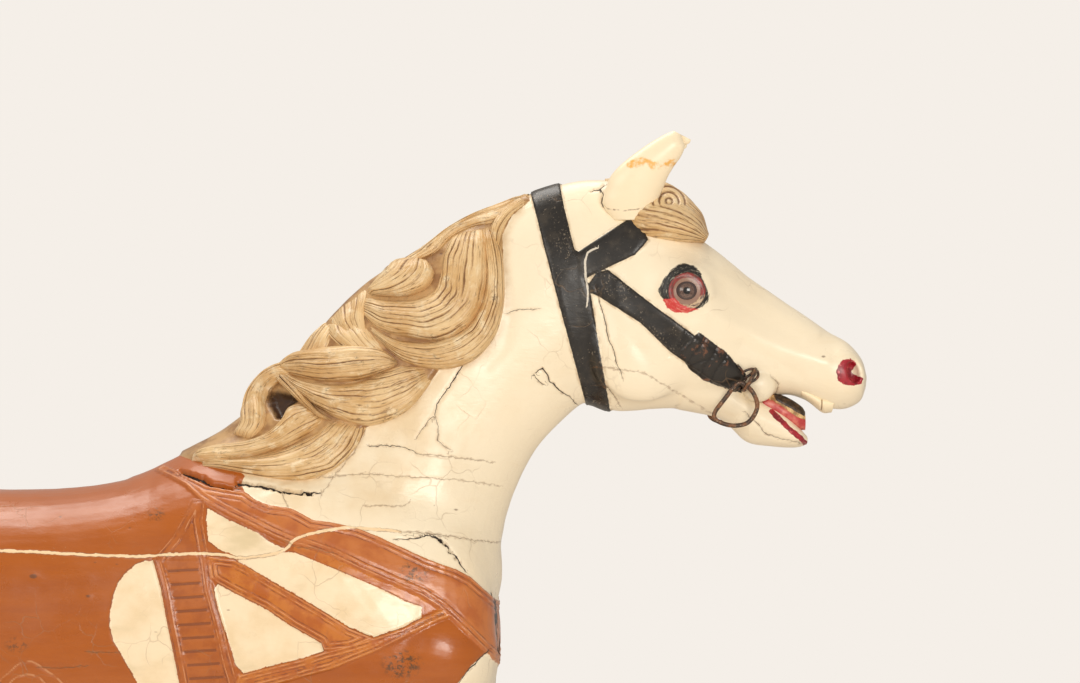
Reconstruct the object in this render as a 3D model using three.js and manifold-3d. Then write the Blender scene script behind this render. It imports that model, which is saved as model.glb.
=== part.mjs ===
// A carved and painted wooden carousel horse, standing on a low plank base.
// Millimetres. +X points to the horse's nose and +Z up. The origin is the centre of the base's underside.
// The horse is drawn in its own group, whose zero height is the sole of the hooves.
import * as THREE from "three";
import { mergeVertices } from "three/addons/utils/BufferGeometryUtils.js";
import Module from "manifold-3d";

const wasm = await Module();
wasm.setup();

// Driving dimensions
const BASE = { length: 1040, width: 340, height: 50, corner: 24, bevel: 6 };
const GAP = 0.3; // between pieces that touch
const RELIEF = 3; // how far carved straps stand proud of the body
const EYE = { x: 670, y: 62.5, z: 1047, radius: 17 };
const EAR = { base: [598, 44, 1152], tip: [672, 52, 1222], half: 27, depth: 14 };
const RING_WIRE = 2.6; // radius of the bit ring's iron
const SIDES = [-1, 1]; // right side of the horse first, then its left

const Y_AXIS = new THREE.Vector3(0, 1, 0);

// ---------- solids ----------

function solidOf(geometry) {
  const bare = geometry.clone();
  bare.deleteAttribute("normal");
  bare.deleteAttribute("uv");
  const merged = mergeVertices(bare, 1e-3);
  const vertProperties = new Float32Array(merged.attributes.position.array);
  const triVerts = new Uint32Array(merged.index.array);
  const made = new wasm.Manifold(new wasm.Mesh({ numProp: 3, vertProperties, triVerts }));
  if (made.volume() > 0) return made;
  for (let i = 0; i < triVerts.length; i += 3) {
    [triVerts[i + 1], triVerts[i + 2]] = [triVerts[i + 2], triVerts[i + 1]];
  }
  return new wasm.Manifold(new wasm.Mesh({ numProp: 3, vertProperties, triVerts }));
}

function geometryOf(solid) {
  const mesh = solid.getMesh();
  const geometry = new THREE.BufferGeometry();
  geometry.setAttribute("position", new THREE.BufferAttribute(new Float32Array(mesh.vertProperties), 3));
  geometry.setIndex(new THREE.BufferAttribute(new Uint32Array(mesh.triVerts), 1));
  geometry.computeVertexNormals();
  return geometry;
}

const union = (solids) => solids.reduce((all, one) => all.add(one));

// Joins a row of equal rings into one closed surface, with a fan over each end.
function skin(rings) {
  const sides = rings[0].length;
  const points = rings.flat();
  const faces = [];
  for (let r = 0; r + 1 < rings.length; r++) {
    for (let k = 0; k < sides; k++) {
      const a = r * sides + k;
      const b = r * sides + ((k + 1) % sides);
      faces.push(a, b, a + sides, b, b + sides, a + sides);
    }
  }
  for (const [ring, turn] of [[0, 1], [rings.length - 1, 0]]) {
    const hub = points.length;
    const sum = rings[ring].reduce((total, p) => total.add(p), new THREE.Vector3());
    points.push(sum.multiplyScalar(1 / sides));
    for (let k = 0; k < sides; k++) {
      const a = ring * sides + k;
      const b = ring * sides + ((k + 1) % sides);
      faces.push(hub, turn ? b : a, turn ? a : b);
    }
  }
  const geometry = new THREE.BufferGeometry().setFromPoints(points);
  geometry.setIndex(faces);
  return solidOf(geometry);
}

const rounded = (value, square) => Math.sign(value) * Math.abs(value) ** (2 / square);

// One ring round a centre: up and side are its half axes; egg widens it above (+) or below (-).
function ringAt(centre, up, side, sides, square = 2, egg = 0) {
  return Array.from({ length: sides }, (_, k) => {
    const angle = (2 * Math.PI * (k + 0.5)) / sides;
    const high = rounded(Math.sin(angle), square);
    const wide = rounded(Math.cos(angle), square) * (1 + egg * high);
    return centre.clone().addScaledVector(up, high).addScaledVector(side, wide);
  });
}

// A form carved to two outlines seen from the side. Each station is
// [top x, top z, bottom x, bottom z, half width, egg, square].
function profileCurves(stations) {
  const curve = (pick) => new THREE.CatmullRomCurve3(stations.map(pick), false, "catmullrom", 0.5);
  return {
    top: curve((s) => new THREE.Vector3(s[0], 0, s[1])),
    bottom: curve((s) => new THREE.Vector3(s[2], 0, s[3])),
    shape: curve((s) => new THREE.Vector3(s[4], s[5] ?? 0, s[6] ?? 2)),
  };
}

function profileForm(stations, sides, steps, grow = 0) {
  const { top, bottom, shape } = profileCurves(stations);
  const rings = [];
  for (let i = 0; i <= steps; i++) {
    const t = i / steps;
    const up = top.getPoint(t).sub(bottom.getPoint(t)).multiplyScalar(0.5);
    const centre = bottom.getPoint(t).add(up);
    const { x: half, y: egg, z: square } = shape.getPoint(t);
    up.setLength(up.length() + grow);
    rings.push(ringAt(centre, up, new THREE.Vector3(0, half + grow, 0), sides, square, egg));
  }
  if (grow > 0) {
    const out = rings.at(-1)[0].clone().sub(rings.at(-2)[0]).setLength(grow);
    rings.at(-1).forEach((p) => p.add(out));
    rings[0].forEach((p) => p.sub(out));
  }
  return skin(rings);
}

// A limb or lock: rings set square to a curved centre line.
// Each station is { at, fore, side, across }; across is the direction of the side half axis.
function limb(stations, sides, steps, square = 2) {
  const curve = (pick) => new THREE.CatmullRomCurve3(stations.map(pick), false, "catmullrom", 0.5);
  const line = curve((s) => s.at);
  const sizes = curve((s) => new THREE.Vector3(s.fore, s.side, 0));
  const across = curve((s) => s.across ?? Y_AXIS);
  const rings = [];
  for (let i = 0; i <= steps; i++) {
    const t = i / steps;
    const along = line.getTangent(t);
    const side = across.getPoint(t);
    side.addScaledVector(along, -side.dot(along)).normalize();
    const up = new THREE.Vector3().crossVectors(along, side);
    const size = sizes.getPoint(t);
    up.multiplyScalar(size.x);
    side.multiplyScalar(size.y);
    rings.push(ringAt(line.getPoint(t), up, side, sides, square));
  }
  return skin(rings);
}

function leg(rows, sides, steps) {
  const stations = rows.map(([x, y, z, fore, side]) => ({ at: new THREE.Vector3(x, y, z), fore, side }));
  return limb(stations, sides, steps, 2.3);
}

// A prism through the whole horse whose outline is drawn in side view.
function prism(shape, y0 = -260, y1 = 260) {
  const geometry = new THREE.ExtrudeGeometry(shape, { depth: y1 - y0, bevelEnabled: false });
  geometry.rotateX(Math.PI / 2).translate(0, y1, 0);
  return solidOf(geometry);
}

// The side outline of a strap: a centre line [x, z] with a half width at each point.
function strapShape(line, halves) {
  const middle = line.map(([x, z]) => new THREE.Vector3(x, 0, z));
  const curve = new THREE.CatmullRomCurve3(middle, false, "catmullrom", 0.5);
  const steps = 2 * (line.length - 1);
  const left = [];
  const right = [];
  for (let i = 0; i <= steps; i++) {
    const t = i / steps;
    const along = curve.getTangent(t);
    const p = curve.getPoint(t);
    const at = t * (halves.length - 1);
    const low = Math.min(Math.floor(at), halves.length - 2);
    const half = THREE.MathUtils.lerp(halves[low], halves[low + 1], at - low);
    left.push(new THREE.Vector2(p.x - along.z * half, p.z + along.x * half));
    right.unshift(new THREE.Vector2(p.x + along.z * half, p.z - along.x * half));
  }
  return new THREE.Shape([...left, ...right]);
}

// ---------- the main forms, in side view ----------

const BODY = [
  [453, 668, 453, 614, 58, 0, 2.2],
  [443, 742, 441, 560, 106, 0, 2.2],
  [406, 800, 402, 520, 130, 0, 2.3],
  [330, 838, 330, 498, 142, 0, 2.3],
  [215, 862, 225, 490, 146, -0.04, 2.3],
  [125, 862, 110, 490, 147, -0.06, 2.3],
  [50, 836, 40, 494, 148, -0.06, 2.3],
  [-40, 820, -60, 498, 149, -0.05, 2.3],
  [-160, 820, -160, 508, 149, -0.03, 2.3],
  [-250, 830, -250, 530, 146, 0, 2.3],
  [-330, 836, -330, 552, 140, 0, 2.3],
  [-405, 812, -405, 580, 118, 0, 2.2],
  [-450, 768, -450, 628, 80, 0, 2],
  [-464, 722, -464, 672, 34, 0, 2],
];

const NECK = [
  [40, 828, 300, 590, 112, -0.1],
  [98, 860, 442, 690, 106, -0.14],
  [170, 908, 456, 760, 90, -0.16],
  [228, 974, 468, 806, 76, -0.17],
  [298, 1048, 492, 857, 66, -0.17],
  [386, 1105, 524, 896, 60, -0.14],
  [468, 1148, 553, 920, 57, -0.06],
  [540, 1172, 590, 940, 54, 0],
  [600, 1172, 640, 960, 44, 0],
];

const HEAD = [
  [548, 1168, 554, 921, 50, 0.05],
  [594, 1170, 588, 909, 60, 0.06],
  [644, 1140, 628, 911, 70, 0.08],
  [680, 1111, 662, 912, 74, 0.1],
  [709, 1089, 690, 912, 67, 0.06],
  [740, 1063, 722, 916, 56, 0],
  [775, 1039, 752, 924, 48, -0.05],
  [808, 1017, 790, 927, 43, -0.04],
  [832, 1000, 822, 915, 42, 0],
  [855, 987, 848, 911, 42, 0.02],
  [869, 970, 868, 919, 34, 0],
  [875, 950, 875, 934, 14, 0],
];

const JAW = [
  [676, 965, 660, 911, 42, 0.1],
  [726, 940, 708, 900, 37, 0.1],
  [764, 920, 738, 874, 31, 0.1],
  [784, 906, 768, 868, 27, 0.1],
  [799, 890, 794, 867, 22, 0.1],
  [809, 879, 808, 870, 10, 0],
];

const TONGUE = [
  [752, 936, 748, 905, 20],
  [780, 926, 770, 896, 18],
  [800, 913, 793, 890, 16],
  [807, 908, 806, 887, 10],
];

const UPPER_TEETH = [
  [804, 935, 806, 920, 24],
  [822, 930, 823, 910, 25],
  [838, 928, 838, 907, 24],
];

const FORELOCK = [
  [576, 1176, 586, 1120, 26, -0.2],
  [620, 1177, 608, 1098, 54, -0.3],
  [655, 1163, 640, 1095, 69, -0.34],
  [682, 1138, 666, 1096, 68, -0.3],
  [694, 1112, 688, 1100, 46, -0.1],
];

// A ball stretched to three half sizes.
function muscle([x, y, z], [a, b, c], tilt = 0) {
  const geometry = new THREE.SphereGeometry(1, 10, 6);
  geometry.scale(a, b, c).rotateY(tilt).translate(x, y, z);
  return solidOf(geometry);
}

// ---------- legs from shoulder and haunch to fetlock, each row [x, y, z, half depth, half width] ----------

const SHOULDER = [
  [206, 56, 800, 40, 50],
  [244, 76, 740, 70, 60],
  [290, 86, 672, 90, 63],
];

const HAUNCH = [
  [-262, 60, 800, 60, 50],
  [-304, 72, 730, 116, 74],
  [-330, 80, 650, 124, 78],
  [-326, 88, 580, 104, 66],
];

const FORE_STANDING = [
  ...SHOULDER,
  [318, 90, 606, 76, 58],
  [306, 90, 530, 58, 45],
  [308, 88, 440, 42, 34],
  [318, 86, 345, 29, 26],
  [322, 85, 285, 28, 27],
  [321, 84, 225, 20, 20],
  [317, 84, 150, 17, 16],
  [318, 84, 100, 24, 21],
  [332, 84, 70, 19, 18],
  [340, 84, 50, 25, 24],
];

const FORE_RAISED = [
  ...SHOULDER,
  [334, 90, 606, 80, 60],
  [352, 90, 545, 60, 46],
  [386, 88, 480, 43, 35],
  [430, 86, 426, 32, 28],
  [459, 85, 396, 30, 28],
  [456, 85, 350, 21, 20],
  [436, 84, 270, 17, 16],
  [421, 84, 228, 24, 21],
  [402, 84, 204, 19, 18],
  [384, 84, 190, 25, 24],
];

const HIND = [
  ...HAUNCH,
  [-324, 90, 510, 78, 50],
  [-354, 87, 435, 50, 36],
  [-396, 85, 368, 35, 27],
  [-424, 84, 318, 33, 26],
  [-425, 84, 262, 24, 21],
  [-414, 84, 160, 19, 17],
  [-410, 84, 108, 26, 22],
  [-398, 84, 76, 20, 19],
  [-390, 84, 52, 26, 25],
];

// The near hind leg steps forward: it leans more and more towards its hoof.
const STEP_FORWARD = 120;
const HIND_STEPPING = HIND.map(([x, y, z, fore, side]) => {
  const lower = Math.max(0, (600 - z) / 600);
  return [x + STEP_FORWARD * lower ** 1.15, y, z, fore, side];
});

const grown = (rows, side, grow) =>
  rows.map(([x, y, z, fore, wide]) => [x, side * y, z, fore + grow, wide + grow]);
const limbForm = (rows, side, grow) => leg(grown(rows, side, grow), 8, rows.length + 1);
const foreLegs = (grow = 0) => [limbForm(FORE_STANDING, 1, grow), limbForm(FORE_RAISED, -1, grow)];
const hindLegs = () => [limbForm(HIND, 1, 0), limbForm(HIND_STEPPING, -1, 0)];

function trunkForm(grow = 0) {
  const points = SIDES.map((side) =>
    muscle([382, side * 88, 638], [69 + grow, 64 + grow, 66 + grow], 0.3)); // point of the shoulder
  const trunk = [profileForm(BODY, 18, 12, grow), profileForm(NECK, 14, 10, grow)];
  return union([...trunk, ...foreLegs(grow), ...points]);
}

function headForm(grow = 0) {
  const parts = SIDES.flatMap((side) => [
    muscle([EYE.x - 4, side * 46, EYE.z + 2], [40 + grow, 32 + grow, 30 + grow], 0.5), // brow
    muscle([616, side * 44, 978], [54 + grow, 24 + grow, 58 + grow], 0), // cheek
  ]);
  return union([profileForm(NECK, 14, 10, grow), profileForm(HEAD, 14, 13, grow), ...parts]);
}

// The raised hoof grows from the last row of its leg, along a direction given in side view.
function raisedHoof([x, y, z, fore, side], [dx, dz], length) {
  const at = (share) => new THREE.Vector3(x + dx * length * share, y, z + dz * length * share);
  const rows = [
    { at: at(-0.1), fore: fore * 0.9, side: side * 0.9 },
    { at: at(0.12), fore: fore * 1.12, side: side * 1.12 },
    { at: at(1), fore: fore * 1.5, side: side * 1.38 },
  ];
  return limb(rows, 8, 2, 2.2);
}

function standingHoof([x, y, z, fore, side]) {
  const ring = (height, shift, wide) =>
    ringAt(
      new THREE.Vector3(x + shift, y, height),
      new THREE.Vector3(fore * wide, 0, 0),
      new THREE.Vector3(0, side * wide, 0),
      8,
      2.2,
    );
  return skin([ring(z + 6, -2, 0.9), ring(z - 4, 1, 1.13), ring(0, 12, 1.52)]);
}

const lastRow = (rows, side) => grown(rows, side, 0).at(-1);
const hooves = () => [
  standingHoof(lastRow(FORE_STANDING, 1)),
  raisedHoof(lastRow(FORE_RAISED, -1), [-0.55, -0.84], 46),
  standingHoof(lastRow(HIND, 1)),
  standingHoof(lastRow(HIND_STEPPING, -1)),
];

// ---------- mane, forelock and tail ----------

// Where a point of the side view lies on the neck's flank, and which way that flank faces.
const neckCurves = profileCurves(NECK);
function neckFlank(x, z) {
  let best = null;
  for (let i = 0; i <= 80; i++) {
    const t = i / 80;
    const low = neckCurves.bottom.getPoint(t);
    const up = neckCurves.top.getPoint(t).sub(low);
    const reach = up.length();
    const off = Math.abs(((x - low.x) * up.z - (z - low.z) * up.x) / reach);
    if (!best || off < best.off) {
      const share = ((x - low.x) * up.x + (z - low.z) * up.z) / reach ** 2;
      const { x: half, y: egg } = neckCurves.shape.getPoint(t);
      best = { off, share, half, egg, reach, up: up.divideScalar(reach) };
    }
  }
  const high = THREE.MathUtils.clamp(2 * best.share - 1, -0.97, 0.97);
  const wide = Math.sqrt(1 - high ** 2) * (1 + best.egg * high);
  const normal = best.up.clone().multiplyScalar(high / (best.reach / 2));
  normal.addScaledVector(Y_AXIS, Math.sqrt(1 - high ** 2) / best.half).normalize();
  return { y: best.half * wide, normal };
}

// A lock lies on the neck's flank. Each row is [x, z, half width, lift].
function lock(rows, side, sides = 6, steps = 2 * rows.length - 2) {
  const stations = rows.map(([x, z, half, lift]) => {
    const { y, normal } = neckFlank(x, z);
    const across = new THREE.Vector3(normal.x, side * normal.y, normal.z);
    return { at: new THREE.Vector3(x, side * y, z), fore: half, side: lift, across };
  });
  return limb(stations, sides, steps);
}

const MANE = {
  crest_strand: [
    [484, 1150, 6, 9], [440, 1128, 14, 14], [388, 1098, 18, 16], [340, 1068, 16, 15],
    [292, 1030, 9, 12],
  ],
  inner_lock: [
    [446, 1124, 9, 9], [408, 1090, 24, 15], [392, 1054, 26, 17], [352, 1030, 22, 17],
    [316, 1036, 10, 12],
  ],
  great_lock: [
    [470, 1150, 7, 8], [440, 1112, 18, 15], [428, 1072, 29, 21], [420, 1032, 33, 24],
    [396, 1000, 33, 24], [354, 992, 31, 22], [322, 1008, 22, 18], [302, 1032, 10, 11],
  ],
  small_curl: [
    [376, 1076, 8, 16], [354, 1064, 21, 27], [332, 1052, 12, 16],
  ],
  crest_fan: [
    [304, 1036, 10, 12], [266, 1004, 17, 15], [226, 966, 13, 13],
  ],
  upper_leaf: [
    [212, 958, 8, 12], [240, 960, 18, 20], [276, 960, 23, 23], [312, 963, 19, 19], [342, 960, 8, 9],
  ],
  under_leaf: [
    [372, 950, 7, 8], [346, 930, 21, 18], [300, 914, 26, 22], [254, 926, 22, 20], [212, 952, 9, 12],
  ],
  hollow_curl: [
    [232, 952, 9, 12], [204, 936, 15, 20], [184, 914, 15, 22], [178, 884, 12, 16],
  ],
  hollow_leaf: [
    [246, 926, 9, 12], [224, 896, 22, 20], [188, 874, 22, 18], [132, 862, 11, 12],
  ],
  last_lock: [
    [312, 896, 7, 8], [278, 872, 27, 17], [226, 860, 29, 20], [174, 856, 19, 16], [104, 852, 7, 9],
  ],
};
const FAR_LOCKS = ["great_lock", "upper_leaf", "under_leaf", "last_lock"];

function mane() {
  const near = Object.values(MANE).map((rows) => lock(rows, -1));
  const far = FAR_LOCKS.map((name) => lock(MANE[name], 1, 5, 6));
  return [...near, ...far];
}

// Tail strands, each row [x, y, z, half depth, half width].
const TAIL = [
  [[-430, 0, 785, 22, 24], [-490, 0, 775, 30, 30], [-528, 0, 700, 38, 36], [-522, 0, 590, 42, 38],
    [-500, 0, 480, 36, 32], [-512, 0, 380, 24, 22], [-540, 0, 310, 7, 7]],
  [[-450, 14, 780, 16, 16], [-506, 20, 740, 22, 20], [-500, 26, 610, 26, 24], [-478, 22, 480, 24, 22],
    [-484, 14, 370, 18, 16], [-506, 6, 270, 6, 6]],
  [[-450, -14, 780, 16, 16], [-510, -20, 750, 22, 20], [-536, -26, 630, 26, 24], [-522, -22, 500, 24, 22],
    [-500, -14, 400, 18, 16], [-496, -6, 300, 6, 6]],
];

const tail = () => TAIL.map((rows) => leg(rows, 5, 6));

// ---------- harness ----------

const BODY_STRAPS = [
  {
    name: "breast collar",
    line: [[84, 836], [135, 803], [212, 772], [290, 748], [365, 716], [424, 682], [464, 646]],
    halves: [22, 21, 21, 22, 27, 26, 26],
  },
  { name: "shoulder strap", line: [[120, 738], [205, 688], [282, 644]], halves: [18, 18], nearSide: true },
  {
    name: "girth",
    line: [[108, 800], [86, 737], [120, 596], [142, 470]],
    halves: [8, 28, 34, 36],
    nearSide: true,
  },
];

const BRIDLE = [
  {
    name: "headstall",
    line: [[505, 1188], [508, 1160], [528, 1102], [541, 1040], [553, 980], [568, 900]],
    halves: [17, 17, 17, 16, 15, 14],
  },
  { name: "brow band", line: [[540, 1078], [611, 1116]], halves: [16, 16] },
  {
    name: "cheek strap",
    line: [[552, 1066], [608, 1026], [661, 986], [700, 956], [726, 941]],
    halves: [15, 15, 16, 17, 13],
  },
];

function straps() {
  const outline = (list) =>
    union(list.map((strap) => prism(strapShape(strap.line, strap.halves), -260, strap.nearSide ? 0 : 260)));
  return [trunkForm(RELIEF).intersect(outline(BODY_STRAPS)), headForm(RELIEF).intersect(outline(BRIDLE))];
}

// ---------- ears, eyes and bit ----------

function ear(side, grow = 0) {
  const [bx, by, bz] = EAR.base;
  const [tx, ty, tz] = EAR.tip;
  const base = new THREE.Vector3(bx, side * by, bz);
  const tip = new THREE.Vector3(tx, side * ty, tz);
  const along = tip.clone().sub(base).normalize();
  const across = new THREE.Vector3(0.15, side, 0).normalize();
  const foot = -0.15 - 0.02 * grow;
  const shares = [[foot, 0.4], [0, 0.86], [0.25, 1.04], [0.55, 1], [0.82, 0.86], [1, 0.6], [1.08, 0.2]];
  const length = tip.distanceTo(base);
  const stations = shares.map(([share, wide]) => ({
    at: base.clone().addScaledVector(along, share * length),
    fore: EAR.half * wide + grow,
    side: EAR.depth * wide + grow,
    across,
  }));
  const leaf = limb(stations, 8, 6);
  if (grow > 0) return leaf;
  const front = new THREE.Vector3().crossVectors(along, across).multiplyScalar(side);
  if (front.x < 0) front.negate();
  const hollow = [[0.3, 1.15, 0.3], [0.55, 0.8, 0.62], [0.8, 0.62, 0.6], [1.1, 0.5, 0.5]];
  const scoop = hollow.map(([share, ahead, wide]) => ({
    at: base.clone().addScaledVector(along, share * length).addScaledVector(front, EAR.half * ahead),
    fore: EAR.half * 0.62,
    side: EAR.depth * wide,
    across,
  }));
  return leaf.subtract(limb(scoop, 6, 3));
}

function eye(side, grow = 0) {
  const geometry = new THREE.SphereGeometry(EYE.radius + grow, 12, 7);
  geometry.rotateX(Math.PI / 2).translate(EYE.x, side * EYE.y, EYE.z);
  return solidOf(geometry);
}

// The bit ring hangs flat beside the corner of the mouth, its straight side to the rear.
const RING_PATH = [
  [728, 940], [714, 923], [702, 906], [706, 897], [724, 892], [741, 896], [751, 912], [748, 927],
  [738, 938.5],
];
const RING_Y = 56;

function bitRing(side) {
  const path = new THREE.CatmullRomCurve3(
    RING_PATH.map(([x, z]) => new THREE.Vector3(x, side * RING_Y, z)), true, "catmullrom", 0.5);
  const steps = 15;
  const rings = Array.from({ length: steps }, (_, i) => {
    const along = path.getTangent(i / steps);
    const out = new THREE.Vector3().crossVectors(along, Y_AXIS).normalize().multiplyScalar(RING_WIRE);
    return ringAt(path.getPoint(i / steps), out, Y_AXIS.clone().multiplyScalar(RING_WIRE), 6);
  });
  const sides = 6;
  const points = rings.flat();
  const faces = [];
  for (let r = 0; r < steps; r++) {
    for (let k = 0; k < sides; k++) {
      const next = ((r + 1) % steps) * sides;
      const a = r * sides + k;
      const b = r * sides + ((k + 1) % sides);
      faces.push(a, b, next + k, b, next + ((k + 1) % sides), next + k);
    }
  }
  const geometry = new THREE.BufferGeometry().setFromPoints(points);
  geometry.setIndex(faces);
  return solidOf(geometry);
}

// A bent iron staple driven into the cheek; the ring hangs through its eye.
function staple(side, grow = 0) {
  const rows = [
    [746, 30, 957], [746, 48, 957], [745, 59, 954], [741, 64, 947], [736, 62, 938],
    [733, 54, 934], [733, 30, 934],
  ];
  const stations = rows.map(([x, y, z]) => ({
    at: new THREE.Vector3(x, side * (y === 30 ? y - 2 * grow : y), z),
    fore: 2.4 + grow,
    side: 2.4 + grow,
    across: new THREE.Vector3(0.9, 0, -0.45),
  }));
  return limb(stations, 5, 7);
}

// ---------- assembly ----------

function horseSolid() {
  const carved = union([
    trunkForm(),
    headForm(),
    profileForm(JAW, 10, 6),
    profileForm(TONGUE, 7, 4),
    profileForm(UPPER_TEETH, 7, 3),
    profileForm(FORELOCK, 10, 5),
    ...hindLegs(),
    ...hooves(),
    ...mane(),
    ...tail(),
    ...straps(),
  ]);
  const hollows = SIDES.flatMap((side) => [
    muscle([204, side * 92, 914], [13, 20, 16], 0.5), // dark hollow inside the curl
    muscle([858, side * 34, 954], [9, 10, 13], -0.2), // nostril
    muscle([EYE.x - 3, side * 88, EYE.z], [27, 15, 17], 0.15), // eye socket
  ]);
  const sockets = SIDES.flatMap((side) => [ear(side, GAP), eye(side, GAP), staple(side, GAP)]);
  return [...hollows, ...sockets].reduce((solid, hole) => solid.subtract(hole), carved);
}

function plankBase() {
  const { length, width, height, corner, bevel } = BASE;
  const [a, b] = [length / 2 - bevel, width / 2 - bevel];
  const outline = new THREE.Shape();
  outline.moveTo(-a + corner, -b);
  outline.lineTo(a - corner, -b);
  outline.absarc(a - corner, -b + corner, corner, -Math.PI / 2, 0);
  outline.lineTo(a, b - corner);
  outline.absarc(a - corner, b - corner, corner, 0, Math.PI / 2);
  outline.lineTo(-a + corner, b);
  outline.absarc(-a + corner, b - corner, corner, Math.PI / 2, Math.PI);
  outline.lineTo(-a, -b + corner);
  outline.absarc(-a + corner, -b + corner, corner, Math.PI, 1.5 * Math.PI);
  const geometry = new THREE.ExtrudeGeometry(outline, {
    depth: height - 2 * bevel,
    bevelThickness: bevel,
    bevelSize: bevel,
    bevelSegments: 1,
    curveSegments: 2,
  });
  geometry.translate(0, 0, bevel);
  return solidOf(geometry);
}

const paint = {
  cream: new THREE.MeshStandardMaterial({ color: 0xf3e2c2, roughness: 0.45, metalness: 0 }),
  glass: new THREE.MeshStandardMaterial({ color: 0x4a3a33, roughness: 0.08, metalness: 0 }),
  iron: new THREE.MeshStandardMaterial({ color: 0x5b4740, roughness: 0.6, metalness: 0.8 }),
  plank: new THREE.MeshStandardMaterial({ color: 0x8a4f26, roughness: 0.6, metalness: 0 }),
};

function piece(name, solid, material) {
  const mesh = new THREE.Mesh(geometryOf(solid), material);
  mesh.name = name;
  return mesh;
}

const horseGroup = new THREE.Group();
horseGroup.position.z = BASE.height + GAP;
horseGroup.add(piece("horse", horseSolid(), paint.cream));
for (const side of SIDES) {
  const hand = side < 0 ? "right" : "left";
  horseGroup.add(piece(`ear_${hand}`, ear(side), paint.cream));
  horseGroup.add(piece(`eye_${hand}`, eye(side), paint.glass));
  horseGroup.add(piece(`bit_staple_${hand}`, staple(side), paint.iron));
  horseGroup.add(piece(`bit_ring_${hand}`, bitRing(side), paint.iron));
}

const carouselHorse = new THREE.Group();
carouselHorse.add(piece("base", plankBase(), paint.plank), horseGroup);

export default carouselHorse;
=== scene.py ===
# A carved and painted wooden carousel horse, standing on a low plank base.
# Lengths in this file are millimetres until a piece is made. +X points to the horse's nose and +Z up.
# Heights are above the soles of the hooves, which stand SOLE above the origin under the base.
import math

import bpy
import numpy as np
import openvdb as vdb
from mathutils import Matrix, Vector


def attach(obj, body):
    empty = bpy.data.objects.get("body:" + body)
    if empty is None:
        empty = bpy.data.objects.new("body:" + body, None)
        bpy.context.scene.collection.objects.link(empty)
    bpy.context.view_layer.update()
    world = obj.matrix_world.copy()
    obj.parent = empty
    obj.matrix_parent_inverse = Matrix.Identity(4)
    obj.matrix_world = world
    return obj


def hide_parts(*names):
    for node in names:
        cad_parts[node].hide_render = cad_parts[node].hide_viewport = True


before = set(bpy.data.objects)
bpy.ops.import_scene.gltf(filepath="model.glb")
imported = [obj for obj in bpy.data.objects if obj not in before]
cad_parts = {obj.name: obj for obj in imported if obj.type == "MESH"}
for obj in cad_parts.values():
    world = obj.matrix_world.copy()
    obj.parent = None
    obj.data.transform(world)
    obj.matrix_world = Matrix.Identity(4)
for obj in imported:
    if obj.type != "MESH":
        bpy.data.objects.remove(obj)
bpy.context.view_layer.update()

SOLE = 50.3
NEAR, FAR = -1, 1  # sides of the horse: its right faces the viewer
EYE = np.array([667.0, 62.5, 1046.0])
EYE_SEEN = (670.3, 1046.6)
EYE_RADIUS = 17
VIEWER = np.array([501.5, 988.7])  # the place in side view that the viewer stands level with
VIEWER_DISTANCE = 4000.0
STRAP_RELIEF = 2.6


# ---------- curves and shells ----------

def spline(rows, t):
    """Points of a Catmull-Rom curve through rows, at shares t of its length in rows."""
    rows = np.asarray(rows, float)
    padded = np.vstack([2 * rows[0] - rows[1], rows, 2 * rows[-1] - rows[-2]])
    s = np.clip(np.atleast_1d(t), 0, 1) * (len(rows) - 1)
    i = np.minimum(s.astype(int), len(rows) - 2)
    w = (s - i)[:, None]
    a, b, c, d = (padded[i + k] for k in range(4))
    return b + 0.5 * w * ((c - a) + w * ((2 * a - 5 * b + 4 * c - d) + w * (3 * b - a - 3 * c + d)))


def tangents(rows, t):
    along = spline(rows, np.minimum(np.asarray(t) + 1e-3, 1)) - spline(rows,
                                                                       np.maximum(np.asarray(t) - 1e-3, 0))
    return unit(along)


def unit(v):
    return v / np.maximum(np.linalg.norm(v, axis=-1, keepdims=True), 1e-12)


def rounded(value, square):
    return np.sign(value) * np.abs(value) ** (2 / square)


def ring_angles(sides):
    return 2 * np.pi * (np.arange(sides) + 0.5) / sides


def padded_rows(stations, width, defaults):
    return np.array([list(s) + list(defaults[len(s) - width:]) for s in stations], float)


def profile_form(stations, sides=72, steps=60):
    """Rings of a form carved to two outlines seen from the side.
    Each station is top x, top z, bottom x, bottom z, half width, egg, square."""
    rows = padded_rows(stations, 5, (0, 2))
    t = np.linspace(0, 1, steps + 1)
    at = spline(rows, t)
    top = np.stack([at[:, 0], 0 * t, at[:, 1]], 1)
    bottom = np.stack([at[:, 2], 0 * t, at[:, 3]], 1)
    up, centre = (top - bottom) / 2, (top + bottom) / 2
    half, egg, square = (at[:, k][:, None] for k in (4, 5, 6))
    angle = ring_angles(sides)[None, :]
    high = rounded(np.sin(angle), square)
    wide = rounded(np.cos(angle), square) * (1 + egg * high) * half
    rings = centre[:, None, :] + up[:, None, :] * high[..., None]
    rings[..., 1] += wide
    return rings


def limb(at, fore, side, across, sides=40, steps=60, square=2.0, angles=None):
    """Rings set square to a curved centre line; across is the direction of the side half axis."""
    t = np.linspace(0, 1, steps + 1)
    line, along = spline(at, t), tangents(at, t)
    out = spline(across, t)
    out = unit(out - along * np.sum(out * along, 1, keepdims=True))
    up = np.cross(along, out)
    sizes = spline(np.stack([fore, side], 1), t)
    angle = (ring_angles(sides) if angles is None else angles)[None, :]
    high = rounded(np.sin(angle), square)[..., None] * sizes[:, :1, None]
    wide = rounded(np.cos(angle), square)[..., None] * sizes[:, 1:, None]
    return line[:, None, :] + up[:, None, :] * high + out[:, None, :] * wide


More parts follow.
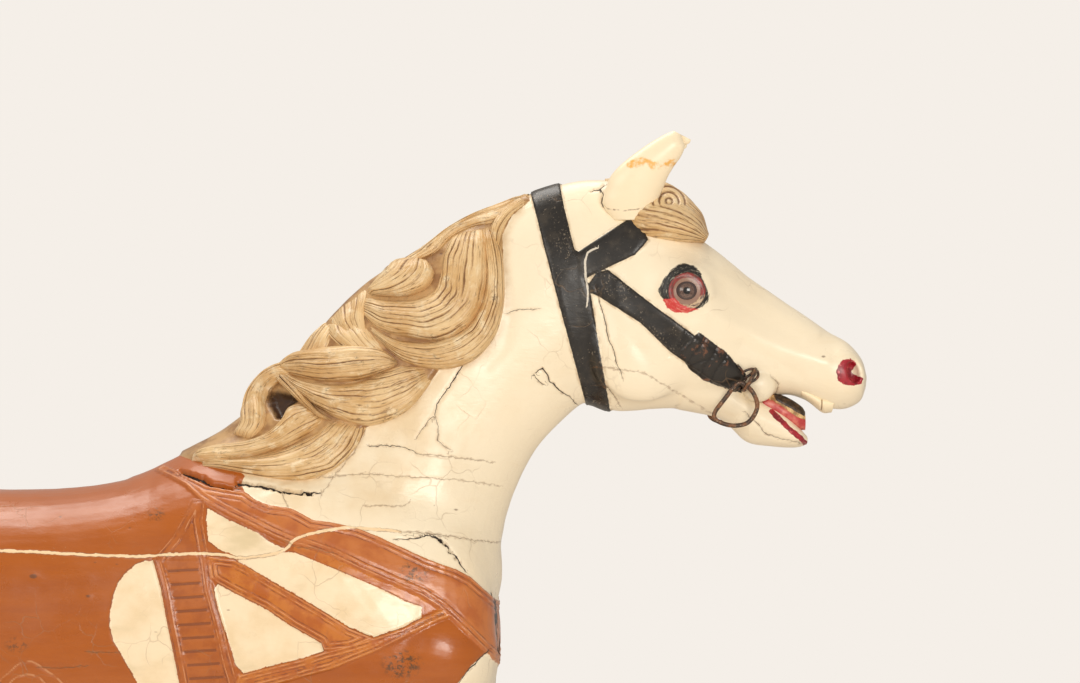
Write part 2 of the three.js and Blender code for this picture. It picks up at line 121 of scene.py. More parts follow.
def leg(rows, side, square=2.3, sides=40, steps=70):
    rows = np.array(rows, float)
    at = rows[:, :3] * [1, side, 1]
    across = np.tile([0.0, 1.0, 0.0], (len(rows), 1))
    return limb(at, rows[:, 3], rows[:, 4], across, sides, steps, square)


def ball(centre, halves, tilt=0.0, sides=48, steps=32):
    """Rings of a ball stretched to three half sizes and tilted in side view."""
    polar = np.pi * (np.arange(steps + 1) + 0.02) / (steps + 0.04)
    angle = ring_angles(sides)
    x = np.cos(polar)[:, None] * np.ones(sides)
    y = np.sin(polar)[:, None] * np.cos(angle)
    z = np.sin(polar)[:, None] * np.sin(angle)
    x, y, z = x * halves[0], y * halves[1], z * halves[2]
    c, s = math.cos(tilt), math.sin(tilt)
    return np.stack([x * c + z * s, y, z * c - x * s], -1) + centre


def skin(rings, closed=False):
    """Joins rings into one closed surface: (points, quads, triangles)."""
    n, m = rings.shape[:2]
    points = rings.reshape(-1, 3)
    rows = n if closed else n - 1
    i, j = np.arange(rows)[:, None] * m, np.arange(m)[None, :]
    up, right = (i + m) % (n * m), (j + 1) % m
    quads = np.stack([i + j, i + right, up + right, up + j], -1).reshape(-1, 4)
    if closed:
        return points, quads, np.zeros((0, 3), int)
    hubs = np.stack([rings[0].mean(0), rings[-1].mean(0)])
    j, right = np.arange(m), (np.arange(m) + 1) % m
    last = (n - 1) * m
    first_fan = np.stack([np.full(m, n * m), right, j], 1)
    last_fan = np.stack([np.full(m, n * m + 1), last + j, last + right], 1)
    return np.vstack([points, hubs]), quads, np.vstack([first_fan, last_fan])


# ---------- small measuring tools ----------

def smooth(low, high, value):
    t = np.clip((value - low) / (high - low), 0, 1)
    return t * t * (3 - 2 * t)


def as_seen(points):
    """Side-view places of points as a viewer on their own side sees them, nearer ones standing wider."""
    grow = VIEWER_DISTANCE / (VIEWER_DISTANCE - np.abs(points[..., 1:2]))
    return VIEWER + (points[..., [0, 2]] - VIEWER) * grow


def in_place(q, depth):
    """The opposite of as_seen, for seen places q on a surface that far from the middle plane."""
    return VIEWER + (np.asarray(q, float) - VIEWER) * (1 - np.asarray(depth)[..., None] / VIEWER_DISTANCE)


def line_distance(p, line):
    """Distance from side-view points p to a broken line."""
    best = np.full(len(p), 1e9)
    line = np.asarray(line, float)
    for a, b in zip(line[:-1], line[1:]):
        d = b - a
        t = np.clip(((p - a) @ d) / max(d @ d, 1e-9), 0, 1)
        best = np.minimum(best, np.hypot(p[:, 0] - a[0] - t * d[0], p[:, 1] - a[1] - t * d[1]))
    return best


def along_line(p, line):
    """(distance, share of the length, side) of side-view points p along a broken line."""
    line = np.asarray(line, float)
    lengths = np.hypot(*np.diff(line, axis=0).T)
    start = np.concatenate([[0], np.cumsum(lengths)])
    best, share, side = np.full(len(p), 1e9), np.zeros(len(p)), np.ones(len(p))
    for k, (a, b) in enumerate(zip(line[:-1], line[1:])):
        d, reach = b - a, p - a
        t = np.clip((reach @ d) / max(d @ d, 1e-9), 0, 1)
        off = np.hypot(reach[:, 0] - t * d[0], reach[:, 1] - t * d[1])
        closer = off < best
        best = np.where(closer, off, best)
        share = np.where(closer, (start[k] + t * lengths[k]) / start[-1], share)
        side = np.where(closer, np.sign(d[0] * reach[:, 1] - d[1] * reach[:, 0]), side)
    return best, share, side


def hairlines(q, lines, drift, fine):
    """Signed distance to the nearest of some thin lines and the half width it has there, or -9 away from them.
    Two numbers that both change evenly along the surface draw a line much thinner than its mesh."""
    across, width, dark = np.full(len(q), 99.0), np.full(len(q), -9.0), np.zeros(len(q))
    for line, half, depth in lines:
        distance, share, side = along_line(q + drift, line)
        taper = half * (0.45 + 0.55 * np.sin(np.pi * np.clip(share * 0.9 + 0.12, 0, 1))) * (1 + 0.35 * fine)
        if depth > 5:  # the wide splits by the mane gape at their rear ends
            taper = half * (1.3 - 0.8 * share) * (1 + 0.3 * fine)
        closer = distance - taper < np.abs(across) - np.maximum(width, 0)
        across = np.where(closer, side * distance, across)
        width = np.where(closer, np.where(distance < 4.5, taper, -9.0), width)
        dark = np.where(closer, min(1.0, depth / 1.5), dark)
    return across, width, dark


def outline_distance(p, outline):
    """Signed distance to a closed outline in side view, positive inside."""
    outline = np.asarray(outline, float)
    ring = np.vstack([outline, outline[:1]])
    inside = np.zeros(len(p), bool)
    for a, b in zip(ring[:-1], ring[1:]):
        crosses = (a[1] > p[:, 1]) != (b[1] > p[:, 1])
        if a[1] != b[1]:
            inside ^= crosses & (p[:, 0] < (b[0] - a[0]) * (p[:, 1] - a[1]) / (b[1] - a[1]) + a[0])
    return np.where(inside, 1, -1) * line_distance(p, ring)


def fine_line(points, steps=8):
    """A broken line drawn smoothly through its points."""
    return spline(points, np.linspace(0, 1, steps * (len(points) - 1) + 1))


def hashed(cell, seed):
    mixed = (cell[:, 0] * 73856093) ^ (cell[:, 1] * 19349663) ^ (cell[:, 2] * 83492791) ^ (seed * 2654435761)
    mixed = (mixed ^ (mixed >> 13)) * 1274126177
    return ((mixed ^ (mixed >> 16)) & 0xFFFF) / 0xFFFF


def unevenness(p, size, seed=0):
    """Smooth noise from -1 to 1 over points p, with lumps of about that size."""
    q = p / size
    low = np.floor(q).astype(np.int64)
    f = q - low
    f = f * f * (3 - 2 * f)
    total = 0
    for dx in (0, 1):
        for dy in (0, 1):
            for dz in (0, 1):
                weight = np.abs(1 - dx - f[:, 0]) * np.abs(1 - dy - f[:, 1]) * np.abs(1 - dz - f[:, 2])
                total = total + weight * hashed(low + [dx, dy, dz], seed)
    return total * 2 - 1


# ---------- the main forms, in side view ----------

BODY = [
    (453, 668, 453, 614, 58, 0, 2.2), (443, 742, 441, 560, 106, 0, 2.2), (406, 800, 402, 520, 130, 0, 2.3),
    (330, 838, 330, 498, 142, 0, 2.3), (215, 862, 225, 490, 146, -0.04, 2.3),
    (125, 862, 110, 490, 147, -0.06, 2.3), (50, 836, 40, 494, 148, -0.06, 2.3),
    (-40, 820, -60, 498, 149, -0.05, 2.3), (-160, 820, -160, 508, 149, -0.03, 2.3),
    (-250, 830, -250, 530, 146, 0, 2.3), (-330, 836, -330, 552, 140, 0, 2.3),
    (-405, 812, -405, 580, 118, 0, 2.2), (-450, 768, -450, 628, 80, 0, 2), (-464, 722, -464, 672, 34, 0, 2),
]
NECK = [
    (40, 828, 300, 590, 112, -0.1), (98, 860, 442, 690, 106, -0.14), (170, 908, 456, 760, 90, -0.16),
    (228, 974, 468, 806, 76, -0.17), (298, 1048, 492, 857, 66, -0.17), (386, 1105, 524, 896, 60, -0.14),
    (468, 1148, 553, 920, 57, -0.06), (540, 1172, 590, 940, 54, 0), (600, 1172, 640, 960, 44, 0),
]
HEAD = [
    (548, 1168, 554, 921, 50, 0.05), (594, 1170, 588, 909, 60, 0.06), (644, 1140, 628, 911, 70, 0.08),
    (680, 1111, 662, 912, 74, 0.1), (709, 1089, 690, 912, 67, 0.06), (740, 1063, 722, 916, 56, 0),
    (775, 1039, 752, 924, 48, -0.05), (808, 1017, 790, 927, 43, -0.04), (832, 1000, 822, 915, 42, 0),
    (855, 987, 848, 911, 42, 0.02), (869, 970, 868, 919, 34, 0), (875, 950, 875, 934, 14, 0),
]
JAW = [
    (676, 965, 660, 911, 42, 0.1), (726, 940, 708, 900, 37, 0.1), (764, 920, 738, 874, 31, 0.1),
    (784, 906, 768, 868, 27, 0.1), (799, 890, 794, 867, 22, 0.1), (809, 879, 808, 870, 10, 0),
]
FORELOCK = [
    (576, 1176, 586, 1120, 26, -0.2), (620, 1179, 608, 1098, 54, -0.3), (656, 1167, 640, 1097, 69, -0.34),
    (685, 1141, 666, 1098, 68, -0.3), (695, 1113, 689, 1101, 46, -0.1),
]

# Legs from shoulder and haunch to fetlock: x, y, z, half depth, half width.
SHOULDER = [(206, 56, 800, 40, 50), (244, 76, 740, 70, 60), (290, 86, 672, 90, 63)]
HAUNCH = [(-262, 60, 800, 60, 50), (-304, 72, 730, 116, 74), (-330, 80, 650, 124, 78), (-326, 88, 580, 104, 66)]
FORE_STANDING = SHOULDER + [
    (318, 90, 606, 76, 58), (306, 90, 530, 58, 45), (308, 88, 440, 42, 34), (318, 86, 345, 29, 26),
    (322, 85, 285, 28, 27), (321, 84, 225, 20, 20), (317, 84, 150, 17, 16), (318, 84, 100, 24, 21),
    (332, 84, 70, 19, 18), (340, 84, 50, 25, 24),
]
FORE_RAISED = SHOULDER + [
    (334, 90, 606, 80, 60), (352, 90, 545, 60, 46), (386, 88, 480, 43, 35), (430, 86, 426, 32, 28),
    (459, 85, 396, 30, 28), (456, 85, 350, 21, 20), (436, 84, 270, 17, 16), (421, 84, 228, 24, 21),
    (402, 84, 204, 19, 18), (384, 84, 190, 25, 24),
]
HIND = HAUNCH + [
    (-324, 90, 510, 78, 50), (-354, 87, 435, 50, 36), (-396, 85, 368, 35, 27), (-424, 84, 318, 33, 26),
    (-425, 84, 262, 24, 21), (-414, 84, 160, 19, 17), (-410, 84, 108, 26, 22), (-398, 84, 76, 20, 19),
    (-390, 84, 52, 26, 25),
]
STEP_FORWARD = 120
HIND_STEPPING = [(x + STEP_FORWARD * max(0, (600 - z) / 600) ** 1.15, y, z, f, s) for x, y, z, f, s in HIND]


def standing_hoof(row, side):
    x, y, z, fore, wide = row
    rings = []
    for height, shift, grow in ((z + 6, -2, 0.9), (z - 4, 1, 1.13), (z - 12, 2.5, 1.2), (4, 11, 1.5),
                                (0, 12, 1.47)):
        angle = ring_angles(48)
        ring = np.stack([x + shift + fore * grow * rounded(np.sin(angle), 2.2),
                         side * y + wide * grow * rounded(np.cos(angle), 2.2), np.full(48, height)], 1)
        rings.append(ring)
    return np.array(rings)


def raised_hoof(row, side, direction, length):
    x, y, z, fore, wide = row
    shares = np.array([-0.1, 0.1, 0.2, 0.94, 1.0])
    at = np.stack([x + direction[0] * length * shares, np.full(5, side * y),
                   z + direction[1] * length * shares], 1)
    grow = np.array([0.9, 1.1, 1.16, 1.48, 1.42])
    return limb(at, fore * grow, wide * grow * 0.95, np.tile([0.0, 1.0, 0.0], (5, 1)), 48, 24, 2.2)


# Each entry is (shell, width of its blend into what is there); negative entries cut.
def body_forms():
    joined = [(profile_form(BODY), 0), (profile_form(NECK), 20)]
    joined += [(leg(FORE_STANDING, FAR), 18), (leg(FORE_RAISED, NEAR), 18)]
    joined += [(leg(HIND, FAR), 20), (leg(HIND_STEPPING, NEAR), 20)]
    joined += [(ball((382, s * 88, 638), (69, 64, 66), 0.3), 7) for s in (NEAR, FAR)]
    joined += [(profile_form(HEAD, 96, 90), 9)]
    joined += [(ball((EYE[0] - 4, s * 46, EYE[2] + 2), (40, 32, 30), 0.5), 14) for s in (NEAR, FAR)]
    joined += [(ball((616, s * 44, 978), (54, 24, 58)), 12) for s in (NEAR, FAR)]
    joined += [(profile_form(JAW, 64, 50), 4)]
    joined += [(ball((751, s * 34, 939), (19, 16, 19)), 3) for s in (NEAR, FAR)]
    joined += [(standing_hoof(FORE_STANDING[-1], FAR), 2),
               (raised_hoof(FORE_RAISED[-1], NEAR, (-0.55, -0.84), 46), 2)]
    joined += [(standing_hoof(HIND[-1], FAR), 2), (standing_hoof(HIND_STEPPING[-1], NEAR), 2)]
    cut = [(ball((EYE[0] - 3, s * 88, EYE[2]), (27, 15, 17), 0.15), 6) for s in (NEAR, FAR)]
    cut += [(ball((858, s * 34, 954), (9, 10, 13), -0.2), 3) for s in (NEAR, FAR)]
    cut += [(ball((204, s * 92, 914), (13, 20, 16), 0.5), 4) for s in (NEAR, FAR)]
    return joined, cut


# ---------- carving: forms joined in a block of space ----------

def carve(low, high, step):
    """Points and quads of the joined forms inside a box, cut off clean at its faces, with the carved block as a
    Flank.
    """
    reach = 24.0
    start = np.floor(np.array(low) / step).astype(int) - 4
    end = np.ceil(np.array(high) / step).astype(int) + 4
    block = np.full(end - start, reach, np.float32)
    grid_of = vdb.createLinearTransform(step)

    def form(shell):
        points, quads, triangles = skin(shell)
        lo = np.maximum(np.floor(points.min(0) / step).astype(int) - int(reach / step) - 1, start)
        hi = np.minimum(np.ceil(points.max(0) / step).astype(int) + int(reach / step) + 1, end)
        if np.any(hi <= lo):
            return None, None
        made = vdb.FloatGrid.createLevelSetFromPolygons(
            points.astype(np.float32), triangles=triangles.astype(np.uint32), quads=quads.astype(np.uint32),
            transform=grid_of, halfWidth=reach / step)
        values = np.empty(hi - lo, np.float32)
        made.copyToArray(values, ijk=tuple(int(v) for v in lo))
        where = tuple(slice(a - s, b - s) for a, b, s in zip(lo, hi, start))
        return where, values

    joined, cut = body_forms()
    for sign, forms in ((1, joined), (-1, cut)):
        for shell, blend in forms:
            where, values = form(shell)
            if where is None:
                continue
            there = block[where] * sign
            lower = np.minimum(there, values)
            if blend:
                near = np.clip(blend - np.abs(there - values), 0, None) / blend
                lower -= near * near * blend / 4
            block[where] = lower * sign
    grid = vdb.FloatGrid(reach)
    grid.copyFromArray(block, ijk=tuple(int(v) for v in start))
    grid.transform = grid_of
    points, quads = grid.convertToQuads(isovalue=0.0)
    return points.astype(float), quads.astype(np.int64), Flank(block, start, step)


class Flank:
    """Where the near side of the carved forms lies under each side-view point, and which way it faces."""

    def __init__(self, block, start, step):
        self.block, self.start, self.step = block, start, step

    def value(self, points):
        q = points / self.step - self.start
        low = np.clip(np.floor(q).astype(int), 0, np.array(self.block.shape) - 2)
        f = np.clip(q - low, 0, 1)
        total = 0
        for dx in (0, 1):
            for dy in (0, 1):
                for dz in (0, 1):
                    weight = np.abs(1 - dx - f[:, 0]) * np.abs(1 - dy - f[:, 1]) * np.abs(1 - dz - f[:, 2])
                    total = total + weight * self.block[low[:, 0] + dx, low[:, 1] + dy, low[:, 2] + dz]
        return total

    def depth(self, q):
        """y of the near side at side-view places q; a place past the crest takes the flank a little lower."""
        x, z = q[:, 0].copy(), q[:, 1].copy()
        y = np.zeros(len(q))
        missing = np.ones(len(q), bool)
        for tries in range(24):
            i = np.rint(x[missing] / self.step - self.start[0]).astype(int)
            k = np.rint(z[missing] / self.step - self.start[2]).astype(int)
            column = self.block[i, :, k] < 0
            column[:, int(-4 / self.step - self.start[1]):] = False
            found = column.any(1)
            where = np.flatnonzero(missing)
            first = column.argmax(1)
            inside, outside = self.block[i, first, k], self.block[i, np.maximum(first - 1, 0), k]
            share = inside / np.minimum(inside - outside, -1e-6)
            y[where[found]] = ((first - share + self.start[1]) * self.step)[found]
            missing[where[found]] = False
            lost = where[~found]
            if not len(lost):
                break
            x[lost] += 0.8
            z[lost] -= 1.2
        return x, y, z

    def __call__(self, seen):
        """Points of the flank under seen places, and which way the flank faces there."""
        y = np.full(len(seen), -60.0)
        for again in range(2):
            q = in_place(seen, -y)
            x, y, z = self.depth(q)
        for again in range(3):  # settles the depth between the block's cells
            surface = np.stack([x, y, z], 1)
            slope = (self.value(surface + [0, 1, 0]) - self.value(surface - [0, 1, 0])) / 2
            y -= np.clip(self.value(surface) / np.minimum(slope, -0.3), -1, 1) * smooth(-0.15, -0.5, slope)
        surface = np.stack([x, y, z], 1)
        reach = 1.5 * self.step
        facing = unit(np.stack([self.value(surface + reach * axis) - self.value(surface - reach * axis)
                                for axis in np.eye(3)], 1))
        facing = unit(np.stack([0.4 * facing[:, 0], np.minimum(facing[:, 1], -0.4), 0.4 * facing[:, 2]], 1))
        return np.stack([q[:, 0], y, q[:, 1]], 1), facing


def vertex_normals(points, faces):
    a, b, c, d = (points[faces[:, k]] for k in range(4))
    flat = np.cross(c - a, d - b)
    total = np.zeros_like(points)
    for k in range(4):
        for axis in range(3):
            total[:, axis] += np.bincount(faces[:, k], flat[:, axis], len(points))
    return unit(total)


def cut_to_box(points, faces, low, high, step):
    """Keeps the faces whose middles lie in the box and draws the open edge onto the box's faces."""
    middle = points[faces].mean(1)
    inside = np.all((middle > low) & (middle < high), 1)
    edge = np.zeros(len(points), bool)
    edge[faces[~inside]] = True
    kept = np.zeros(len(points), bool)
    kept[faces[inside]] = True
    edge &= kept
    moved = points.copy()
    for axis in range(3):
        for wall in (low[axis], high[axis]):
            near = edge & (np.abs(points[:, axis] - wall) < 1.2 * step)
            moved[near, axis] = wall
    number = np.cumsum(kept) - 1
    return moved[kept], number[faces[inside]], kept


# ---------- painted and carved lines of the harness, in side view ----------

COLLAR_UPPER = [(70, 846), (88, 838), (99, 832), (119, 822), (140, 818), (161, 815), (175, 806), (191, 800),
                (214, 797), (228, 790), (240, 783), (262, 780), (290, 774), (316, 764), (348, 749),
                (372, 738), (405, 726), (421, 717), (437, 703), (447, 695), (480, 668)]
COLLAR_LOWER = [(60, 840), (80, 830), (95, 822), (110, 808), (124, 799), (147, 787), (175, 774), (195, 764),
                (214, 756), (229, 753), (261, 742), (294, 726), (327, 712), (364, 696), (387, 681),
                (410, 659), (428, 641), (447, 623), (480, 590)]
GIRTH_LEFT = [(104, 806), (80, 763), (57, 737), (66, 704), (74, 660), (82, 622), (87, 596), (100, 490),
              (104, 470)]
GIRTH_RIGHT = [(116, 806), (113, 781), (120, 742), (125, 704), (136, 666), (144, 628), (153, 596), (185, 490),
               (190, 470)]
RUNG_HEIGHTS = [726 - 15.6 * k for k in range(15)]
CREAM_GUSSET = [(57, 737), (48, 737), (38, 733), (28, 726), (17, 712), (11, 696), (7, 677), (7, 661), (11, 645),
                (19, 631), (28, 615), (37, 599), (50, 575), (72, 548), (92, 548), (87, 596), (82, 622),
                (74, 660), (66, 704)]
PANELS = [
    [(119, 797), (145, 783), (175, 770), (191, 758), (210, 750), (204, 745), (187, 743), (157, 740), (134, 749),
     (120, 760), (118, 781)],
    [(150, 738), (191, 743), (207, 746), (218, 747), (250, 734), (283, 720), (316, 706), (348, 690), (366, 684),
     (365, 671), (343, 660), (310, 649), (283, 660), (256, 677), (229, 693), (196, 712), (164, 731)],
    [(127, 703), (131, 710), (153, 698), (185, 682), (218, 660), (250, 642), (253, 633), (229, 625), (196, 617),
     (161, 607), (152, 617), (142, 649), (131, 682)],
]
SHOULDER_STRAP = [(120, 741), (150, 737), (164, 730), (196, 711), (229, 692), (256, 676), (283, 659),
                  (310, 648), (283, 637), (253, 634), (250, 643), (218, 661), (185, 683), (153, 699),
                  (131, 711), (124, 716)]
LOWER_STRAP = [(155, 606), (196, 616), (229, 624), (253, 632), (283, 640), (310, 648), (343, 659), (368, 671),
               (390, 681), (398, 672), (386, 668), (348, 650), (316, 634), (261, 612), (185, 592), (150, 584)]
OCHRE_BAND = [(218, 755), (261, 742), (294, 726), (327, 712), (364, 696), (392, 677), (384, 673), (372, 676),
              (366, 684), (348, 690), (316, 706), (283, 720), (250, 734), (218, 747)]
FRONT_EDGE = [(500, 655), (452, 640), (440, 630), (424, 617), (410, 599), (380, 560), (330, 545), (250, 541),
              (150, 538), (0, 536), (-150, 540), (-300, 548), (-322, 600), (-330, 700), (-326, 800),
              (-322, 900)]
BLANKET = [(40, 900), (88, 868), (98, 858), (112, 857), (130, 852), (150, 843), (163, 834), (157, 827),
           (162, 816)] + COLLAR_UPPER[6:] + FRONT_EDGE

HEADSTALL = [(496, 1190), (490, 1163), (507, 1094), (525, 1025), (553, 921), (560, 895), (590, 893), (582, 913),
             (559, 1048), (541, 1095), (530, 1140), (525, 1166), (524, 1190)]
BROW_BAND = [(526, 1100), (546, 1092), (606, 1131), (614, 1131), (626, 1105), (611, 1088), (563, 1066),
             (530, 1046)]
CHEEK_STRAP = [(552, 1048), (567, 1068), (580, 1071), (617, 1042), (663, 1008), (702, 978), (738, 952),
               (733, 930), (700, 944), (651, 977), (617, 1010), (570, 1040)]

CRACKS = [  # line, half width, depth
    ([(88, 838), (99, 835), (113, 831), (119, 827), (125, 824), (134, 822), (145, 820), (155, 819)], 1.5, 7),
    ([(155, 827), (168, 825), (180, 824), (191, 822), (203, 818), (219, 816), (237, 815), (250, 814)], 1.3, 6),
    ([(335, 761), (350, 762), (360, 763), (372, 766), (382, 765), (390, 760)], 0.5, 2),
    ([(376, 766), (386, 762), (395, 752), (404, 741), (411, 732), (417, 724)], 0.8, 3),
    ([(420, 972), (410, 958), (402, 944), (392, 930), (384, 918), (381, 904)], 0.5, 2.5),
    ([(381, 904), (374, 898), (366, 888), (360, 878)], 0.25, 1.2),
    ([(381, 904), (385, 892), (383, 876), (391, 868), (398, 864)], 0.25, 1.2),
    ([(464, 1022), (475, 1026), (498, 1026)], 0.3, 1.2),
    ([(494, 949), (500, 955), (505, 958), (511, 949), (512, 942), (519, 938), (526, 930), (534, 926),
      (543, 918)],
     0.6, 3),
    ([(496, 950), (499, 944), (507, 938)], 0.3, 2),
    ([(305, 870), (330, 869), (347, 867), (356, 863), (360, 859), (366, 858)], 0.35, 2),
    ([(571, 1164), (574, 1158), (572, 1149), (575, 1143), (583, 1139), (592, 1137), (600, 1139), (612, 1140),
      (622, 1142), (630, 1147), (638, 1154)], 0.7, 2),
    ([(575, 1168), (569, 1163), (560, 1162)], 0.5, 1.5),
    ([(566, 1050), (572, 1025), (579, 998), (588, 970), (596, 945)], 0.4, 1.6),
    ([(575, 940), (588, 924), (594, 914)], 0.25, 1),
    ([(446, 700), (449, 680), (450, 655), (453, 630)], 0.6, 1.6),
    ([(442, 634), (430, 622), (416, 606), (408, 594)], 0.5, 1.6),
    ([(-76, 614), (-50, 613), (-20, 616)], 0.25, 0.9),
    ([(-20, 632), (16, 631)], 0.2, 0.7),
    ([(737, 907), (752, 894), (762, 882), (780, 876), (806, 870)], 0.25, 1.2),
    ([(768, 948), (776, 940), (774, 930), (768, 924)], 0.3, 0.8),
    # faint seams between the boards under the paint
    ([(366, 858), (400, 856), (447, 850)], 0.22, 0.6),
    ([(240, 832), (300, 837), (400, 830), (456, 823)], 0.22, 0.5),
    ([(300, 800), (345, 800), (352, 805)], 0.2, 0.5),
    ([(341, 771), (380, 768), (420, 760), (452, 758)], 0.3, 0.8),
    ([(206, 760), (222, 752), (246, 750), (262, 745)], 0.2, 0.4),
    ([(205, 818), (208, 806), (212, 798)], 0.25, 0.8),
    ([(302, 890), (288, 862), (266, 836), (250, 812)], 0.2, 0.5),
    ([(566, 960), (620, 953), (700, 905)], 0.15, 0.3),
]
WORN_BRIDLE = [([(566, 1096), (556, 1090), (553, 1080), (554, 1062), (557, 1044), (555, 1030)], 0.9, 1)]
FILLER = [(-140, 749), (-119, 748), (-65, 746), (-10, 743), (44, 742), (99, 744), (134, 744), (157, 740),
          (187, 743), (205, 748), (212, 753), (219, 760), (240, 767), (261, 771), (294, 774), (341, 770)]
CHEVRONS = [[(-150, 566), (-119, 599), (-106, 611), (-96, 619), (-85, 621), (-77, 618), (-64, 609), (-50, 598),
             (-18, 560)],
            [(-136, 560), (-106, 598), (-94, 605), (-87, 606), (-78, 604), (-69, 597), (-40, 560)]]
KNOTS = [  # x, z, radius
    (-81, 719, 5), (-18, 696, 3), (-10, 735, 1.4), (15, 733, 1.6), (85, 725, 1.8), (143, 680, 1.4),
    (-96, 655, 1.2), (60, 655, 1.4), (30, 775, 1.4), (-50, 787, 1.6), (827, 971, 2.4), (404, 795, 2),
    (389, 1088, 2), (380, 800, 1.2),
]
BRUISES = [  # x, z, radius of a rubbed dark patch
    (356, 722, 13), (343, 618, 17), (60, 790, 8), (-100, 640, 9),
]
MANE_PAD = [(488, 1170), (490, 1150), (469, 1133), (458, 1112), (460, 1055), (458, 1022), (448, 992),
            (423, 966), (386, 957), (377, 944), (349, 910), (310, 894), (301, 890), (287, 864), (264, 842),
            (232, 830), (195, 832), (160, 839), (120, 847), (96, 854), (70, 864), (120, 960), (240, 1060),
            (400, 1160)]
STRAP_END = [(662, 978), (684, 1000), (700, 988), (716, 976), (728, 962), (735, 950), (732, 938), (722, 934),
             (706, 938), (690, 944), (672, 958)]
STRAP_WRAPS = [[(650, 972), (672, 1004)], [(668, 960), (676, 974), (692, 992)],
               [(684, 948), (690, 962), (706, 984)],
               [(696, 942), (702, 956), (716, 974)], [(672, 962), (700, 972)]]
# where the lower neck is painted warmer and darker: painted shade, and dust
NECK_SHADE_AND_DUST = [(150, 860), (303, 905), (378, 945), (420, 930), (400, 860), (330, 800), (220, 800)]
MANE_HOLLOW = [(190, 928), (204, 931), (218, 927), (226, 920), (214, 912), (207, 898), (199, 899), (191, 914)]
EYE_BLACK = [(637, 1047), (643, 1059), (652, 1070), (661, 1077), (669, 1078), (679, 1075), (687, 1066),
             (691, 1055), (695, 1045), (696, 1037), (690, 1030), (681, 1025), (673, 1022), (662, 1024),
             (645, 1034)]
EYE_RED = [(643, 1037), (648, 1027), (658, 1022), (672, 1022), (684, 1026), (672, 1028), (664, 1031),
           (656, 1039)]
NOSTRIL = [(845, 962), (849, 967), (858, 969), (866, 964), (862, 958), (858, 953), (866, 950), (872, 946),
           (871, 940), (862, 938), (851, 939), (843, 945), (842, 954)]
LIP = [(768, 908), (786, 890), (802, 877), (808, 869)]


# ---------- what the carver and the painter did to each point of the surface ----------

STRAPS = {"collar": (4.5, 10), "shoulder_strap": (3.5, 8.5), "lower_strap": (4, 8.5), "girth": (2.2, 10)}


def harness_marks(q):
    """Signed distances, in side view, that paint and relief both follow."""
    marks = {}
    marks["collar"] = outline_distance(q, COLLAR_UPPER + COLLAR_LOWER[::-1])
    marks["girth"] = outline_distance(q, GIRTH_LEFT + GIRTH_RIGHT[::-1])
    marks["shoulder_strap"] = outline_distance(q, SHOULDER_STRAP)
    marks["lower_strap"] = outline_distance(q, LOWER_STRAP)
    marks["panel"] = np.max([outline_distance(q, outline) for outline in PANELS + [CREAM_GUSSET]], 0)
    marks["blanket"] = outline_distance(q, BLANKET)
    marks["bridle"] = np.max([outline_distance(q, outline) for outline in (HEADSTALL, BROW_BAND,
                                                                           CHEEK_STRAP)], 0)
    marks["mane"] = outline_distance(q, MANE_PAD)
    marks["hollow"] = outline_distance(q, MANE_HOLLOW)
    marks["chevron"] = np.min([line_distance(q, fine_line(line)) for line in CHEVRONS], 0)
    return marks


